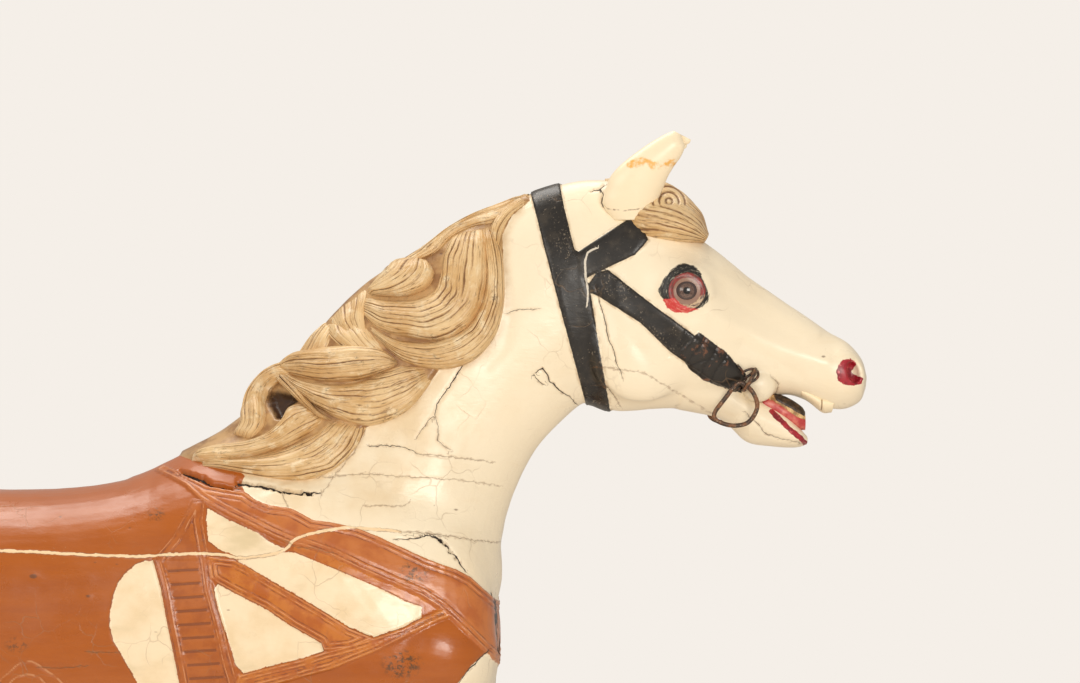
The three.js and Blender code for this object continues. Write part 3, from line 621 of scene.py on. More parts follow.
def carved_surface(points, normals):
    """Moves the surface's points to the carver's relief, and returns them with the painter's guides."""
    near = points[:, 1] < 0
    q = as_seen(points)
    marks = harness_marks(q)
    wobble = unevenness(points, 9, 3)
    fine = unevenness(points, 3.5, 5)
    shift = np.zeros(len(points))

    def furrow(distance, width, depth):
        return depth * np.exp(-(distance / width) ** 2)

    for strap, lines in STRAPS.items():
        shift = np.maximum(shift, STRAP_RELIEF * smooth(-1.2, 1.6, marks[strap] + 0.5 * wobble))
        for line in lines:
            shift -= furrow(marks[strap] - line, 1.4, 0.95) - furrow(marks[strap] - line + 2.4, 1.4, 0.4)
    shift = np.maximum(shift, (STRAP_RELIEF + 0.6) * smooth(-1.0, 1.5, marks["bridle"] + 0.3 * wobble))
    shift -= furrow(marks["bridle"] - 2.6, 1.2, 0.6) + furrow(marks["chevron"], 1.5, 1.2)
    shift += 3.5 * smooth(-1, 5, marks["mane"]) - 9 * smooth(-3, 7, marks["hollow"])
    rung = np.full(len(q), 99.0)
    girth_middle = (marks["girth"] > 11.5) & (q[:, 1] < 737)
    for height in RUNG_HEIGHTS:
        rung = np.minimum(rung, np.abs(q[:, 1] - height - 0.06 * (q[:, 0] - 100)))
    rung = np.where(girth_middle, rung, 99.0)
    shift -= 1.2 * girth_middle + furrow(rung, 1.6, 0.8)
    panel_edge = marks["panel"] + 1.4 * wobble + 0.8 * fine
    shift -= 0.7 * smooth(-0.6, 0.9, panel_edge)

    drift = np.stack([1.3 * wobble, 1.5 * fine], 1)
    crack, crack_width, crack_dark = hairlines(q, CRACKS, drift, fine)
    open_width = np.maximum(crack_width, 0)
    depth = np.where(open_width > 0.85, 7.0, 1.1 * crack_dark)
    groove = np.exp(-np.clip(np.abs(crack) / np.maximum(open_width + 1.0, 1.7), 0, 6) ** 2)
    shift -= np.where(near & (crack_width > 0), depth * groove, 0)
    filler = 1.7 - line_distance(q + np.stack([wobble, 0.9 * fine], 1), fine_line(FILLER))
    shift += np.where(near, 0.5 * smooth(-0.6, 0.8, filler), 0)
    knots = np.full(len(q), 99.0)
    for x, z, radius in KNOTS:
        distance = np.hypot(0.55 * (q[:, 0] - x + 0.6 * fine), q[:, 1] - z)
        knots = np.minimum(knots, distance - 0.5 * radius)
        shift -= np.where(near, furrow(distance, radius, 0.18 * radius), 0)
    bruise = np.max([radius - np.hypot(0.7 * (q[:, 0] - x), q[:, 1] - z) for x, z, radius in BRUISES], 0)
    # the eye's lids and the soft planes of the face
    eye = np.hypot(q[:, 0] - EYE_SEEN[0], q[:, 1] - EYE_SEEN[1])
    eye_turn = np.arctan2(q[:, 0] - EYE_SEEN[0], q[:, 1] - EYE_SEEN[1]) * 20
    shift += furrow(eye - 19.5, 2.2, 1.6) + furrow(eye - 29, 5.0, 1.4) * (q[:, 1] > EYE_SEEN[1] - 8)
    for line, width, height in (
        ([(700, 1020), (740, 1000), (790, 975), (830, 965)], 9, 2.0),  # ridge of the cheekbone
        ([(690, 1078), (730, 1052), (770, 1026), (820, 998)], 5, 1.2),  # edge of the nose bone
        ([(700, 1052), (740, 1026), (800, 992)], 7, -1.0),
        ([(735, 985), (765, 968), (800, 950)], 7, -1.5),
        ([(846, 975), (866, 966), (872, 948)], 5, 1.5),  # rim of the nostril
        ([(640, 1092), (655, 1096), (680, 1090)], 8, -1.2),  # hollow over the eye
        ([(588, 1060), (600, 1010), (640, 940)], 9, -1.0),
        ([(360, 900), (400, 820), (430, 750)], 26, 2.4),  # front muscle of the neck
        ([(300, 880), (330, 820), (352, 800)], 12, -1.4),
        ([(452, 1130), (470, 1060), (462, 990), (440, 960)], 8, -1.2),
    ):
        shift += furrow(line_distance(q, fine_line(line)), width, height)
    wraps = np.where(near, np.min([line_distance(q, line) for line in STRAP_WRAPS], 0), 99)
    wrapped = np.where(near, outline_distance(q, STRAP_END), -9)
    shift += 1.8 * smooth(-1, 2, wrapped + 0.5 * wobble) - furrow(wraps, 1.3, 1.4)
    shift += 0.55 * unevenness(points, 38, 11) + 0.22 * unevenness(points, 14, 12)
    moved = points + normals * shift[:, None]

    paint = dict(marks)
    paint["ochre"] = np.max([marks["shoulder_strap"], marks["lower_strap"], outline_distance(q, OCHRE_BAND)], 0)
    paint["rung"], paint["wraps"], paint["strap_end"] = rung, wraps, wrapped
    paint["crack"], paint["crack_width"] = crack, np.where(near, crack_width, -9)
    paint["crack_dark"] = crack_dark
    paint["worn"], paint["worn_width"] = hairlines(q, WORN_BRIDLE, 0.6 * drift, fine)[:2]
    paint["worn_width"] = np.where(near, paint["worn_width"], -9)
    paint["filler"] = np.where(near, filler, -9)
    paint["knot"] = np.where(near, -knots, -9)
    paint["bruise"] = np.where(near, bruise, -9)
    paint["shade_and_dust_on_neck"] = outline_distance(q, NECK_SHADE_AND_DUST)
    paint["eye"], paint["eye_turn"] = eye, eye_turn
    paint["eye_upper"] = q[:, 1] - 1037 - 0.25 * (q[:, 0] - EYE_SEEN[0])
    paint["eye_black"], paint["eye_red"] = outline_distance(q, EYE_BLACK), outline_distance(q, EYE_RED)
    paint["crimson"] = np.maximum(outline_distance(q, NOSTRIL), 3.0 - line_distance(q, LIP))
    paint["hoof"] = np.maximum(50 - points[:, 2], outline_distance(q,
                                                                   [(340, 150), (352, 196), (420, 178),
                                                                    (420, 120)]))
    return moved, paint


# ---------- making pieces ----------

def piece(name, points, faces, material, guides=None, normals=None, triangles=None):
    mesh = bpy.data.meshes.new(name)
    polygons = [np.asarray(faces, int)] + ([np.asarray(triangles, int)] if triangles is not None else [])
    loops = np.concatenate([part.ravel() for part in polygons if len(part)])
    totals = np.concatenate([np.full(len(part), part.shape[1]) for part in polygons if len(part)])
    mesh.vertices.add(len(points))
    placed = (np.asarray(points, float) + [0, 0, SOLE]) * 0.001
    mesh.vertices.foreach_set("co", placed.astype(np.float32).ravel())
    mesh.loops.add(len(loops))
    mesh.loops.foreach_set("vertex_index", loops.astype(np.int32))
    mesh.polygons.add(len(totals))
    starts = np.concatenate([[0], np.cumsum(totals)[:-1]])
    mesh.polygons.foreach_set("loop_start", starts.astype(np.int32))
    mesh.update(calc_edges=True)
    mesh.validate()
    mesh.polygons.foreach_set("use_smooth", np.ones(len(totals), bool))
    for guide, values in (guides or {}).items():
        layer = mesh.attributes.new(guide, "FLOAT", "POINT")
        layer.data.foreach_set("value", np.asarray(values, np.float32))
    if normals is not None:
        mesh.normals_split_custom_set_from_vertices(normals.astype(np.float32))
    mesh.materials.append(material)
    made = bpy.data.objects.new(name, mesh)
    bpy.context.scene.collection.objects.link(made)
    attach(made, "root")
    return made


def outward(points, quads, triangles):
    """Turns a closed surface's faces to look outwards."""
    volume = 0.0
    for faces in (quads, triangles):
        if len(faces):
            corners = points[faces]
            for k in range(1, faces.shape[1] - 1):
                volume += np.einsum("ij,ij->i", corners[:, 0], np.cross(corners[:, k], corners[:, k + 1])).sum()
    return (quads, triangles) if volume > 0 else (quads[:, ::-1], triangles[:, ::-1])


def shell_piece(name, rings, material, guides=None, closed=False):
    points, quads, triangles = skin(rings, closed)
    quads, triangles = outward(points, quads, triangles)
    full = {}
    for guide, values in (guides or {}).items():
        values = np.asarray(values, float).reshape(len(rings), -1)
        hubs = [] if closed else [values[0].mean(), values[-1].mean()]
        full[guide] = np.concatenate([values.ravel(), hubs])
    return piece(name, points, quads, material, full,
                 triangles=triangles if len(triangles) else None)


# ---------- node helpers ----------

class Nodes:
    """Short ways to add and join shader nodes in one tree."""

    def __init__(self, tree):
        self.tree = tree

    def add(self, kind, inputs=None, **settings):
        node = self.tree.nodes.new(kind)
        for key, value in settings.items():
            setattr(node, key, value)
        for key, value in (inputs or {}).items():
            self.put(value, node.inputs[key])
        return node

    def put(self, value, socket):
        if isinstance(value, bpy.types.NodeSocket):
            self.tree.links.new(value, socket)
        else:
            socket.default_value = value

    def math(self, operation, a, b=0.0, clamp=False):
        return self.add("ShaderNodeMath", {0: a, 1: b}, operation=operation, use_clamp=clamp).outputs[0]

    def guide(self, name):
        return self.add("ShaderNodeAttribute", attribute_name=name).outputs["Fac"]

    def times(self, a, b, clamp=False):
        return self.math("MULTIPLY", a, b, clamp)

    def plus(self, a, b):
        return self.math("ADD", a, b)

    def minus(self, a, b):
        return self.math("SUBTRACT", a, b)

    def step(self, value, low, high):
        """0 below low and 1 above high, smoothly."""
        node = self.add("ShaderNodeMapRange", {"Value": value, "From Min": low, "From Max": high},
                        interpolation_type="SMOOTHSTEP")
        return node.outputs["Result"]

    def noise(self, position, scale, detail=4.0, rough=0.55):
        node = self.add("ShaderNodeTexNoise", {"Vector": position, "Scale": scale, "Detail": detail,
                                               "Roughness": rough})
        return node.outputs["Fac"]

    def patches(self, low, high, position, scale, detail=4.0, rough=0.55):
        """Soft-edged patches where noise of that scale is above a level."""
        return self.step(self.noise(position, scale, detail, rough), low, high)

    def stretch(self, position, x, y, z):
        return self.add("ShaderNodeMapping", {"Vector": position, "Scale": (x, y, z)}).outputs[0]

    def mix(self, share, a, b, blend="MIX"):
        node = self.tree.nodes.new("ShaderNodeMix")
        node.data_type, node.blend_type = "RGBA", blend
        self.put(share, node.inputs[0])
        self.put(a, node.inputs[6])
        self.put(b, node.inputs[7])
        return node.outputs[2]

    def object_position(self):
        return self.add("ShaderNodeTexCoord").outputs["Object"]


def colour(r, g, b):
    """A paint colour given as 0 to 255 display values."""
    linear = [c / 255 / 12.92 if c / 255 <= 0.04045 else ((c / 255 + 0.055) / 1.055) ** 2.4 for c in (r, g, b)]
    return (*linear, 1.0)


def shader_group(name, inputs, outputs, build):
    """A shader node group with named inputs and outputs; build returns its output values."""
    tree = bpy.data.node_groups.new(name, "ShaderNodeTree")
    for label, (kind, value) in inputs.items():
        socket = tree.interface.new_socket(name=label, in_out="INPUT", socket_type=kind)
        if value is not None:
            socket.default_value = value
    for label, kind in outputs.items():
        tree.interface.new_socket(name=label, in_out="OUTPUT", socket_type=kind)
    start, end = tree.nodes.new("NodeGroupInput"), tree.nodes.new("NodeGroupOutput")
    n = Nodes(tree)
    for label, value in build(n, start.outputs).items():
        n.put(value, end.inputs[label])
    return tree


FLOAT, VECTOR = "NodeSocketFloat", "NodeSocketVector"


def ragged_edge(n, given):
    """A brushed edge: full where Distance (mm) is well above 0, nothing well below."""
    wander = n.minus(n.noise(given["Position"], 160.0, 3.0), 0.5)
    fine = n.minus(n.noise(given["Position"], 600.0, 2.0), 0.5)
    moved = n.plus(given["Distance"], n.times(n.plus(wander, n.times(fine, 0.6)),
                                              given["Raggedness"]))
    low = n.times(given["Softness"], -0.5)
    return {"Mask": n.step(moved, low, n.times(given["Softness"], 0.5))}


def paint_flakes(n, given):
    """Small missing specks, clustered where the surface was rubbed."""
    clusters = n.patches(0.46, 0.66, given["Position"], 22.0, 3.0)
    specks = n.noise(given["Position"], 420.0, 3.0, 0.7)
    level = n.minus(0.74, n.times(n.plus(clusters, given["Wear"]), 0.09))
    return {"Mask": n.step(specks, level, n.plus(level, 0.04))}


def grime(n, given):
    """Soft yellowed dirt in broad patches and thin smears."""
    broad = n.patches(0.45, 0.75, given["Position"], 7.0, 5.0, 0.6)
    smears = n.patches(0.55, 0.8, n.stretch(given["Position"], 12.0, 12.0, 60.0), 1.0, 5.0, 0.65)
    total = n.plus(n.times(broad, 0.5), n.times(smears, 0.4))
    return {"Mask": n.times(total, given["Amount"], clamp=True)}


def fine_checks(n, given):
    """Hairline cracks of old paint, in loose cells."""
    wander = n.add("ShaderNodeTexNoise", {"Vector": given["Position"], "Scale": 30.0,
                                          "Detail": 2.0}).outputs["Color"]
    place = n.add("ShaderNodeMix", {0: 0.03, 4: given["Position"], 5: wander}, data_type="VECTOR").outputs[1]
    cells = n.add("ShaderNodeTexVoronoi", {"Vector": place, "Scale": given["Scale"]},
                  feature="DISTANCE_TO_EDGE")
    line = n.step(cells.outputs["Distance"], 0.018, 0.006)
    patches = n.patches(0.5, 0.68, given["Position"], 16.0, 3.0)
    return {"Mask": n.times(line, patches)}


def paint_surface(n, given):
    """Fine brush ripple and orange-peel of thick varnished paint, as a bump height in mm."""
    ripple = n.noise(n.stretch(given["Position"], 90.0, 90.0, 260.0), 1.0, 4.0, 0.6)
    peel = n.noise(given["Position"], 900.0, 2.0)
    return {"Height": n.plus(n.times(ripple, 0.35), n.times(peel, 0.06))}


def edge_line(n, given):
    """A thin broken line that keeps At (mm) inside an edge, Half (mm) to each side."""
    wander = n.times(n.minus(n.noise(given["Position"], 130.0, 3.0), 0.5), 1.2)
    off = n.math("ABSOLUTE", n.minus(n.plus(given["Distance"], wander), given["At"]))
    line = n.step(n.minus(off, given["Half"]), 0.4, -0.2)
    broken = n.patches(0.36, 0.58, given["Position"], 75.0, 4.0, 0.65)
    return {"Mask": n.times(line, broken)}


LINE = shader_group("line beside an edge", {"Position": (VECTOR, None), "Distance": (FLOAT, 0.0),
                                            "At": (FLOAT, 0.0),
                                            "Half": (FLOAT, 0.4)}, {"Mask": FLOAT}, edge_line)
EDGE = shader_group("ragged paint edge", {"Position": (VECTOR, None), "Distance": (FLOAT, 0.0),
                                          "Raggedness": (FLOAT, 2.0), "Softness": (FLOAT, 0.7)},
                    {"Mask": FLOAT}, ragged_edge)
FLAKES = shader_group("paint flakes", {"Position": (VECTOR, None), "Wear": (FLOAT, 0.0)}, {"Mask": FLOAT},
                      paint_flakes)
GRIME = shader_group("old grime", {"Position": (VECTOR, None), "Amount": (FLOAT, 1.0)}, {"Mask": FLOAT}, grime)
CHECKS = shader_group("fine checks", {"Position": (VECTOR, None), "Scale": (FLOAT, 40.0)}, {"Mask": FLOAT},
                      fine_checks)
SURFACE = shader_group("varnished paint surface", {"Position": (VECTOR, None)}, {"Height": FLOAT},
                       paint_surface)


def use(n, tree, **inputs):
    node = n.add("ShaderNodeGroup", node_tree=tree)
    for label, value in inputs.items():
        n.put(value, node.inputs[label])
    return node.outputs[0]


def new_material(name):
    made = bpy.data.materials.new(name)
    made.use_nodes = True
    made.node_tree.nodes.clear()
    n = Nodes(made.node_tree)
    shader = n.add("ShaderNodeBsdfPrincipled")
    out = n.add("ShaderNodeOutputMaterial")
    n.tree.links.new(shader.outputs[0], out.inputs[0])
    return made, n, shader


def finish_material(n, shader, base, rough, height=None, strength=0.6, coat=0.0, metal=0.0, mm=0.001):
    n.put(base, shader.inputs["Base Color"])
    n.put(rough, shader.inputs["Roughness"])
    n.put(metal, shader.inputs["Metallic"])
    n.put(coat, shader.inputs["Coat Weight"])
    shader.inputs["Coat Roughness"].default_value = 0.22
    if height is not None:
        bump = n.add("ShaderNodeBump", {"Height": height, "Strength": strength, "Distance": mm})
        n.put(bump.outputs[0], shader.inputs["Normal"])


# ---------- finishes ----------

CREAM = colour(247, 232, 203)
CREAM_WARM = colour(234, 208, 164)
BROWN = colour(176, 90, 6)
BROWN_TOP_SHEEN = colour(180, 94, 30)
BLACK = colour(33, 29, 25)
CRIMSON = colour(170, 34, 48)
DIRT = colour(96, 62, 40)


def horse_paint():
    made, n, shader = new_material("horse_paint_aged")
    at = n.object_position()

    def edge(name, raggedness=2.0, softness=0.7, shift=0.0):
        distance = n.guide(name)
        if shift:
            distance = n.plus(distance, shift)
        return use(n, EDGE, Position=at, Distance=distance, Raggedness=raggedness, Softness=softness)

    def hairline(name, width, wider):
        """A thin line from its signed distance and half width in mm, with a torn edge."""
        torn = n.times(n.minus(n.noise(at, 330.0, 3.0), 0.5), 1.3)
        off = n.math("ABSOLUTE", n.plus(n.guide(name), torn))
        inside = n.minus(n.plus(n.guide(width), wider), off)
        return n.step(inside, -0.25, 0.2)

    grime_mask = use(n, GRIME, Position=at, Amount=0.55)
    flakes = use(n, FLAKES, Position=at, Wear=0.0)
    checks = use(n, CHECKS, Position=at, Scale=26.0)
    base = n.mix(grime_mask, CREAM, CREAM_WARM)
    # painted shade and dust: the lower neck by the mane and the collar turns a warmer, darker cream
    neck_shade_and_dust_mask = n.times(n.step(n.guide("shade_and_dust_on_neck"), -34.0, 12.0), n.patches(0.2, 0.75, at, 20.0, 5.0))
    base = n.mix(n.times(neck_shade_and_dust_mask, 0.75), base, colour(226, 198, 154))
    # painted shade, mixed with dust: a darker band on the neck just outside the mane's edge, where the carved
    # mane throws its shade
    shade = n.times(n.step(n.guide("mane"), -12.0, 0.0), n.patches(0.3, 0.7, at, 60.0, 5.0))
    base = n.mix(n.times(shade, 0.6), base, colour(206, 170, 120))
    # beside the bridle straps the cream turns browner: black paint rubbed onto it, and painted shade along the
    # straps' raised edges
    strap_rim_rub_and_shade = n.times(n.step(n.guide("bridle"), -4.0, 0.0), n.patches(0.4, 0.66, at, 90.0, 5.0))
    base = n.mix(n.times(strap_rim_rub_and_shade, 0.55), base, colour(170, 136, 94))
    # the painted blanket, a browner field with wiped streaks, and a redder, paler top that is a painted sheen
    # of the light from above
    streaks = n.noise(n.stretch(at, 8.0, 8.0, 46.0), 1.0, 6.0, 0.6)
    brown = n.mix(n.step(streaks, 0.35, 0.75), BROWN, colour(166, 82, 4))
    height = n.add("ShaderNodeSeparateXYZ", {0: at}).outputs[2]
    # painted sheen: above 0.82 m the brown turns redder and paler
    brown = n.mix(n.step(height, 0.82, 0.92), brown, BROWN_TOP_SHEEN)
    brown = n.mix(n.times(flakes, 0.35), brown, colour(214, 160, 104))
    blanket = edge("blanket", 2.4)
    base = n.mix(blanket, base, brown)
    panel_paint = n.mix(n.patches(0.4, 0.7, at, 26.0, 6.0), colour(250, 228, 192), colour(240, 214, 172))
    panel_paint = n.mix(n.patches(0.5, 0.78, n.stretch(at, 14.0, 14.0, 30.0), 1.0, 6.0), panel_paint,
                        colour(224, 202, 160))
    base = n.mix(edge("panel", 4.2), base, panel_paint)
    base = n.mix(edge("ochre", 3.0), base, n.mix(n.patches(0.42, 0.62, at, 50.0, 4.0), colour(200, 116, 36),
                                                 colour(182, 94, 20)))
    collar_paint = n.mix(n.patches(0.4, 0.66, at, 40.0, 5.0), colour(198, 116, 54), colour(180, 96, 40))
    base = n.mix(n.times(edge("collar", 3.0), 0.92), base, collar_paint)
    girth_paint = n.mix(n.patches(0.4, 0.65, at, 60.0, 4.0), colour(182, 98, 30), colour(166, 84, 20))
    base = n.mix(n.times(edge("girth", 1.2), 0.85), base, girth_paint)
    rung = n.step(n.guide("rung"), 2.0, 1.0)
    base = n.mix(n.times(rung, 0.8), base, colour(128, 66, 30))
    # each carved strap line is a dark line in its groove and, 2.2 mm inside it, a pale line on the small ridge:
    # rubbed paint, and a painted highlight where the ridge catches the light
    grooves = 0.0
    for strap, lines in STRAPS.items():
        for at_line in lines:
            for place, half, paint, share in ((at_line, 0.35, colour(128, 64, 38), 0.75),
                                              (at_line - 2.2, 0.3, colour(232, 172, 126), 0.55)):
                line = use(n, LINE, Position=at, Distance=n.guide(strap), At=place, Half=half)
                line = n.times(line, n.step(n.guide("blanket"), -6.0, 0.0))
                base = n.mix(n.times(line, share), base, paint)
                if place == at_line:
                    grooves = n.math("MAXIMUM", grooves, line)
    rim = use(n, LINE, Position=at, Distance=n.guide("panel"), At=-0.6, Half=0.3)
    base = n.mix(n.times(rim, 0.75), base, colour(112, 66, 34))
    # painted highlight: the carved chevron lines are painted pale along their length
    chevron = n.times(n.step(n.guide("chevron"), 1.6, 0.6), n.patches(0.34, 0.56, at, 90.0, 4.0))
    base = n.mix(n.times(chevron, 0.6), base, colour(216, 156, 108))
    bruise = n.times(n.step(n.guide("bruise"), -3.0, 7.0), n.patches(0.48, 0.6, at, 190.0, 5.0, 0.7))
    base = n.mix(n.times(bruise, 0.8), base, colour(70, 56, 34))
    mane_coat = n.mix(n.patches(0.4, 0.65, at, 40.0, 5.0), colour(196, 156, 104), colour(150, 108, 66))
    # painted shade: the deep carved hollow under the mane's curl is painted a near-black brown
    mane_coat = n.mix(edge("hollow", 4.0, 6.0), mane_coat, colour(60, 36, 18))
    base = n.mix(edge("mane", 2.0), base, mane_coat)
    # black straps of the bridle, rubbed at the edges
    straps = edge("bridle", 1.3, 0.6)
    rubbed = use(n, FLAKES, Position=at, Wear=0.9)
    strap_paint = n.mix(n.patches(0.45, 0.75, at, 70.0, 5.0), BLACK, colour(58, 51, 42))
    strap_paint = n.mix(n.times(rubbed, 0.75), strap_paint, colour(136, 122, 104))
    base = n.mix(straps, base, strap_paint)
    end_paint = n.mix(n.patches(0.56, 0.66, at, 90.0, 5.0, 0.65), colour(38, 33, 28), colour(112, 72, 50))
    # painted shade: the carved grooves between the wraps are painted darker than the black tape
    end_paint = n.mix(n.times(n.step(n.guide("wraps"), 1.6, 0.6), 0.8), end_paint, colour(18, 14, 12))
    base = n.mix(edge("strap_end", 2.4, 1.0), base, end_paint)
    base = n.mix(hairline("worn", "worn_width", 0.4), base, colour(214, 204, 186))
    # paint round the eye: a red band over the upper lid and brushed black outside it
    ring = n.guide("eye")
    turned = n.add("ShaderNodeCombineXYZ", {0: n.times(ring, 0.5),
                                            1: n.times(n.guide("eye_turn"), 0.14)}).outputs[0]
    strokes = n.noise(turned, 1.0, 4.0, 0.7)
    stray = n.minus(strokes, 0.5)
    lid = n.step(n.plus(n.guide("eye_black"), n.times(stray, 7.0)), -0.5, 0.9)
    # the brushed black is streaked pale grey: pale scratches, and painted sheen along the brush strokes
    black = n.mix(n.step(strokes, 0.55, 0.64), colour(36, 33, 30), colour(140, 134, 118))
    base = n.mix(lid, base, black)
    band = n.step(n.plus(ring, n.times(stray, 3.0)), 21.4, 20.2)
    red = n.mix(n.step(strokes, 0.44, 0.6), colour(150, 58, 54), colour(108, 62, 56))
    lower = n.mix(n.step(strokes, 0.46, 0.6), colour(206, 176, 142), colour(96, 70, 56))
    band_paint = n.mix(n.step(n.guide("eye_upper"), -2.0, 2.0), lower, red)
    base = n.mix(band, base, n.mix(n.step(ring, 16.2, 15.0), band_paint, colour(150, 116, 98)))
    base = n.mix(edge("eye_red", 3.6, 1.4), base, n.mix(n.step(strokes, 0.5, 0.66), colour(206, 60, 56),
                                                        colour(228, 140, 124)))
    crimson = n.mix(n.patches(0.42, 0.6, at, 90.0, 3.0), CRIMSON, colour(132, 22, 38))
    crimson = n.mix(n.patches(0.55, 0.66, at, 230.0, 4.0, 0.65), crimson, colour(214, 98, 102))
    base = n.mix(edge("crimson", 3.4), base, crimson)
    # knots, checks, dirt in the cracks and old filler
    base = n.mix(n.times(n.step(n.guide("knot"), -0.8, 0.6), 0.75), base, DIRT)
    base = n.mix(n.times(checks, 0.28), base, colour(150, 118, 84))
    filler_rim = use(n, LINE, Position=at, Distance=n.guide("filler"), At=-0.2, Half=0.35)
    base = n.mix(edge("filler", 1.4, 0.6), base, colour(244, 214, 170))
    base = n.mix(n.times(filler_rim, 0.6), base, colour(130, 92, 60))
    crack = hairline("crack", "crack_width", 0.0)
    halo = n.times(hairline("crack", "crack_width", 1.4), n.patches(0.4, 0.62, at, 220.0, 3.0))
    base = n.mix(n.times(halo, 0.35), base, colour(150, 108, 70))
    old = n.mix(n.guide("crack_dark"), colour(168, 132, 94), colour(38, 25, 18))
    base = n.mix(n.times(crack, n.plus(0.25, n.times(n.guide("crack_dark"), 0.75))), base, old)
    hoof = n.mix(n.patches(0.4, 0.7, n.stretch(at, 120.0, 120.0, 12.0), 1.0, 3.0), colour(46, 38, 34),
                 colour(74, 60, 50))
    base = n.mix(edge("hoof", 1.5), base, hoof)
    shine = n.mix(n.patches(0.35, 0.7, at, 18.0, 5.0), (0.27, 0.27, 0.27, 1), (0.45, 0.45, 0.45, 1))
    rough = n.add("ShaderNodeSeparateColor", {0: shine}).outputs[0]
    rough = n.plus(rough, n.times(crack, 0.4))
    surface = use(n, SURFACE, Position=at)
    relief = n.minus(surface, n.times(n.plus(grooves, rung), 0.5))
    relief = n.minus(relief, n.times(crack, 0.6))
    relief = n.minus(relief, n.times(checks, 0.25))
    relief = n.minus(relief, n.times(flakes, 0.12))
    relief = n.plus(relief, n.times(blanket, 0.12))
    gloss = n.plus(0.06, n.times(blanket, 0.3))
    finish_material(n, shader, base, rough, relief, 0.8, coat=gloss)
    return made


def plank_paint():
    """Brown painted planks, worn along the grain and at the edges."""
    made, n, shader = new_material("base_paint_aged")
    at = n.object_position()
    grain = n.noise(n.stretch(at, 3.0, 60.0, 60.0), 1.0, 6.0, 0.6)
    base = n.mix(n.step(grain, 0.35, 0.7), colour(128, 66, 26), colour(98, 50, 24))
    worn = n.patches(0.62, 0.74, n.stretch(at, 6.0, 40.0, 40.0), 1.0, 6.0, 0.65)
    base = n.mix(n.times(worn, 0.7), base, colour(178, 136, 90))
    base = n.mix(n.times(use(n, FLAKES, Position=at, Wear=0.6), 0.6), base, colour(196, 156, 108))
    relief = n.plus(use(n, SURFACE, Position=at), n.times(grain, 1.2))
    finish_material(n, shader, base, n.plus(0.42, n.times(worn, 0.3)), relief, 0.8, coat=0.1)
    return made


HORSE_PAINT = horse_paint()
for place in bpy.data.objects["base"].material_slots:
    place.material = plank_paint()


# ---------- the carved horse ----------

def carved_piece(name, low, high, step, split=None):
    """The joined forms in one box, carved, painted and cut clean at the box's faces."""
    low, high = np.array(low, float), np.array(high, float)
    points, faces, flank = carve(low - 3 * step, high + 3 * step, step)
    normals = vertex_normals(points, faces)
    moved, paint = carved_surface(points, normals)
    normals = vertex_normals(moved, faces)
    moved, faces, kept = cut_to_box(moved, faces, low, high, step)
    normals = normals[kept]
    paint = {key: values[kept] for key, values in paint.items()}
    parts = [(name, np.ones(len(faces), bool))]
    if split:
        other, test = split
        second = test(moved[faces].mean(1))
        parts = [(name, ~second), (other, second)]
    made = []
    for label, chosen in parts:
        used = np.zeros(len(moved), bool)
        used[faces[chosen]] = True
        number = np.cumsum(used) - 1
        guides = {key: values[used] for key, values in paint.items()}
        made.append(piece(label, moved[used], number[faces[chosen]], HORSE_PAINT, guides, normals[used]))
    return made, flank


FRONT_X, FRONT_Z = -140.0, 596.0  # the planes that part the finely carved front from the rump and the legs
NECK_Z = 846  # the height at which the near flank ends and the neck begins
fine, middle = ((2.0, 3.6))
near_front, NEAR_FLANK = carved_piece("near_flank", (FRONT_X, -200, FRONT_Z), (900, 0, 1300), fine,
                                      ("near_head_and_neck", lambda p: p[:, 2] > NECK_Z))
carved_piece("far_front", (FRONT_X, 0, FRONT_Z), (900, 200, 1300), middle)
carved_piece("rump", (-620, -200, FRONT_Z), (FRONT_X, 200, 1300), middle)
carved_piece("belly_and_legs", (-620, -200, -10), (900, 200, FRONT_Z), middle)
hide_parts("horse")

# ---------- mane, forelock and tail ----------

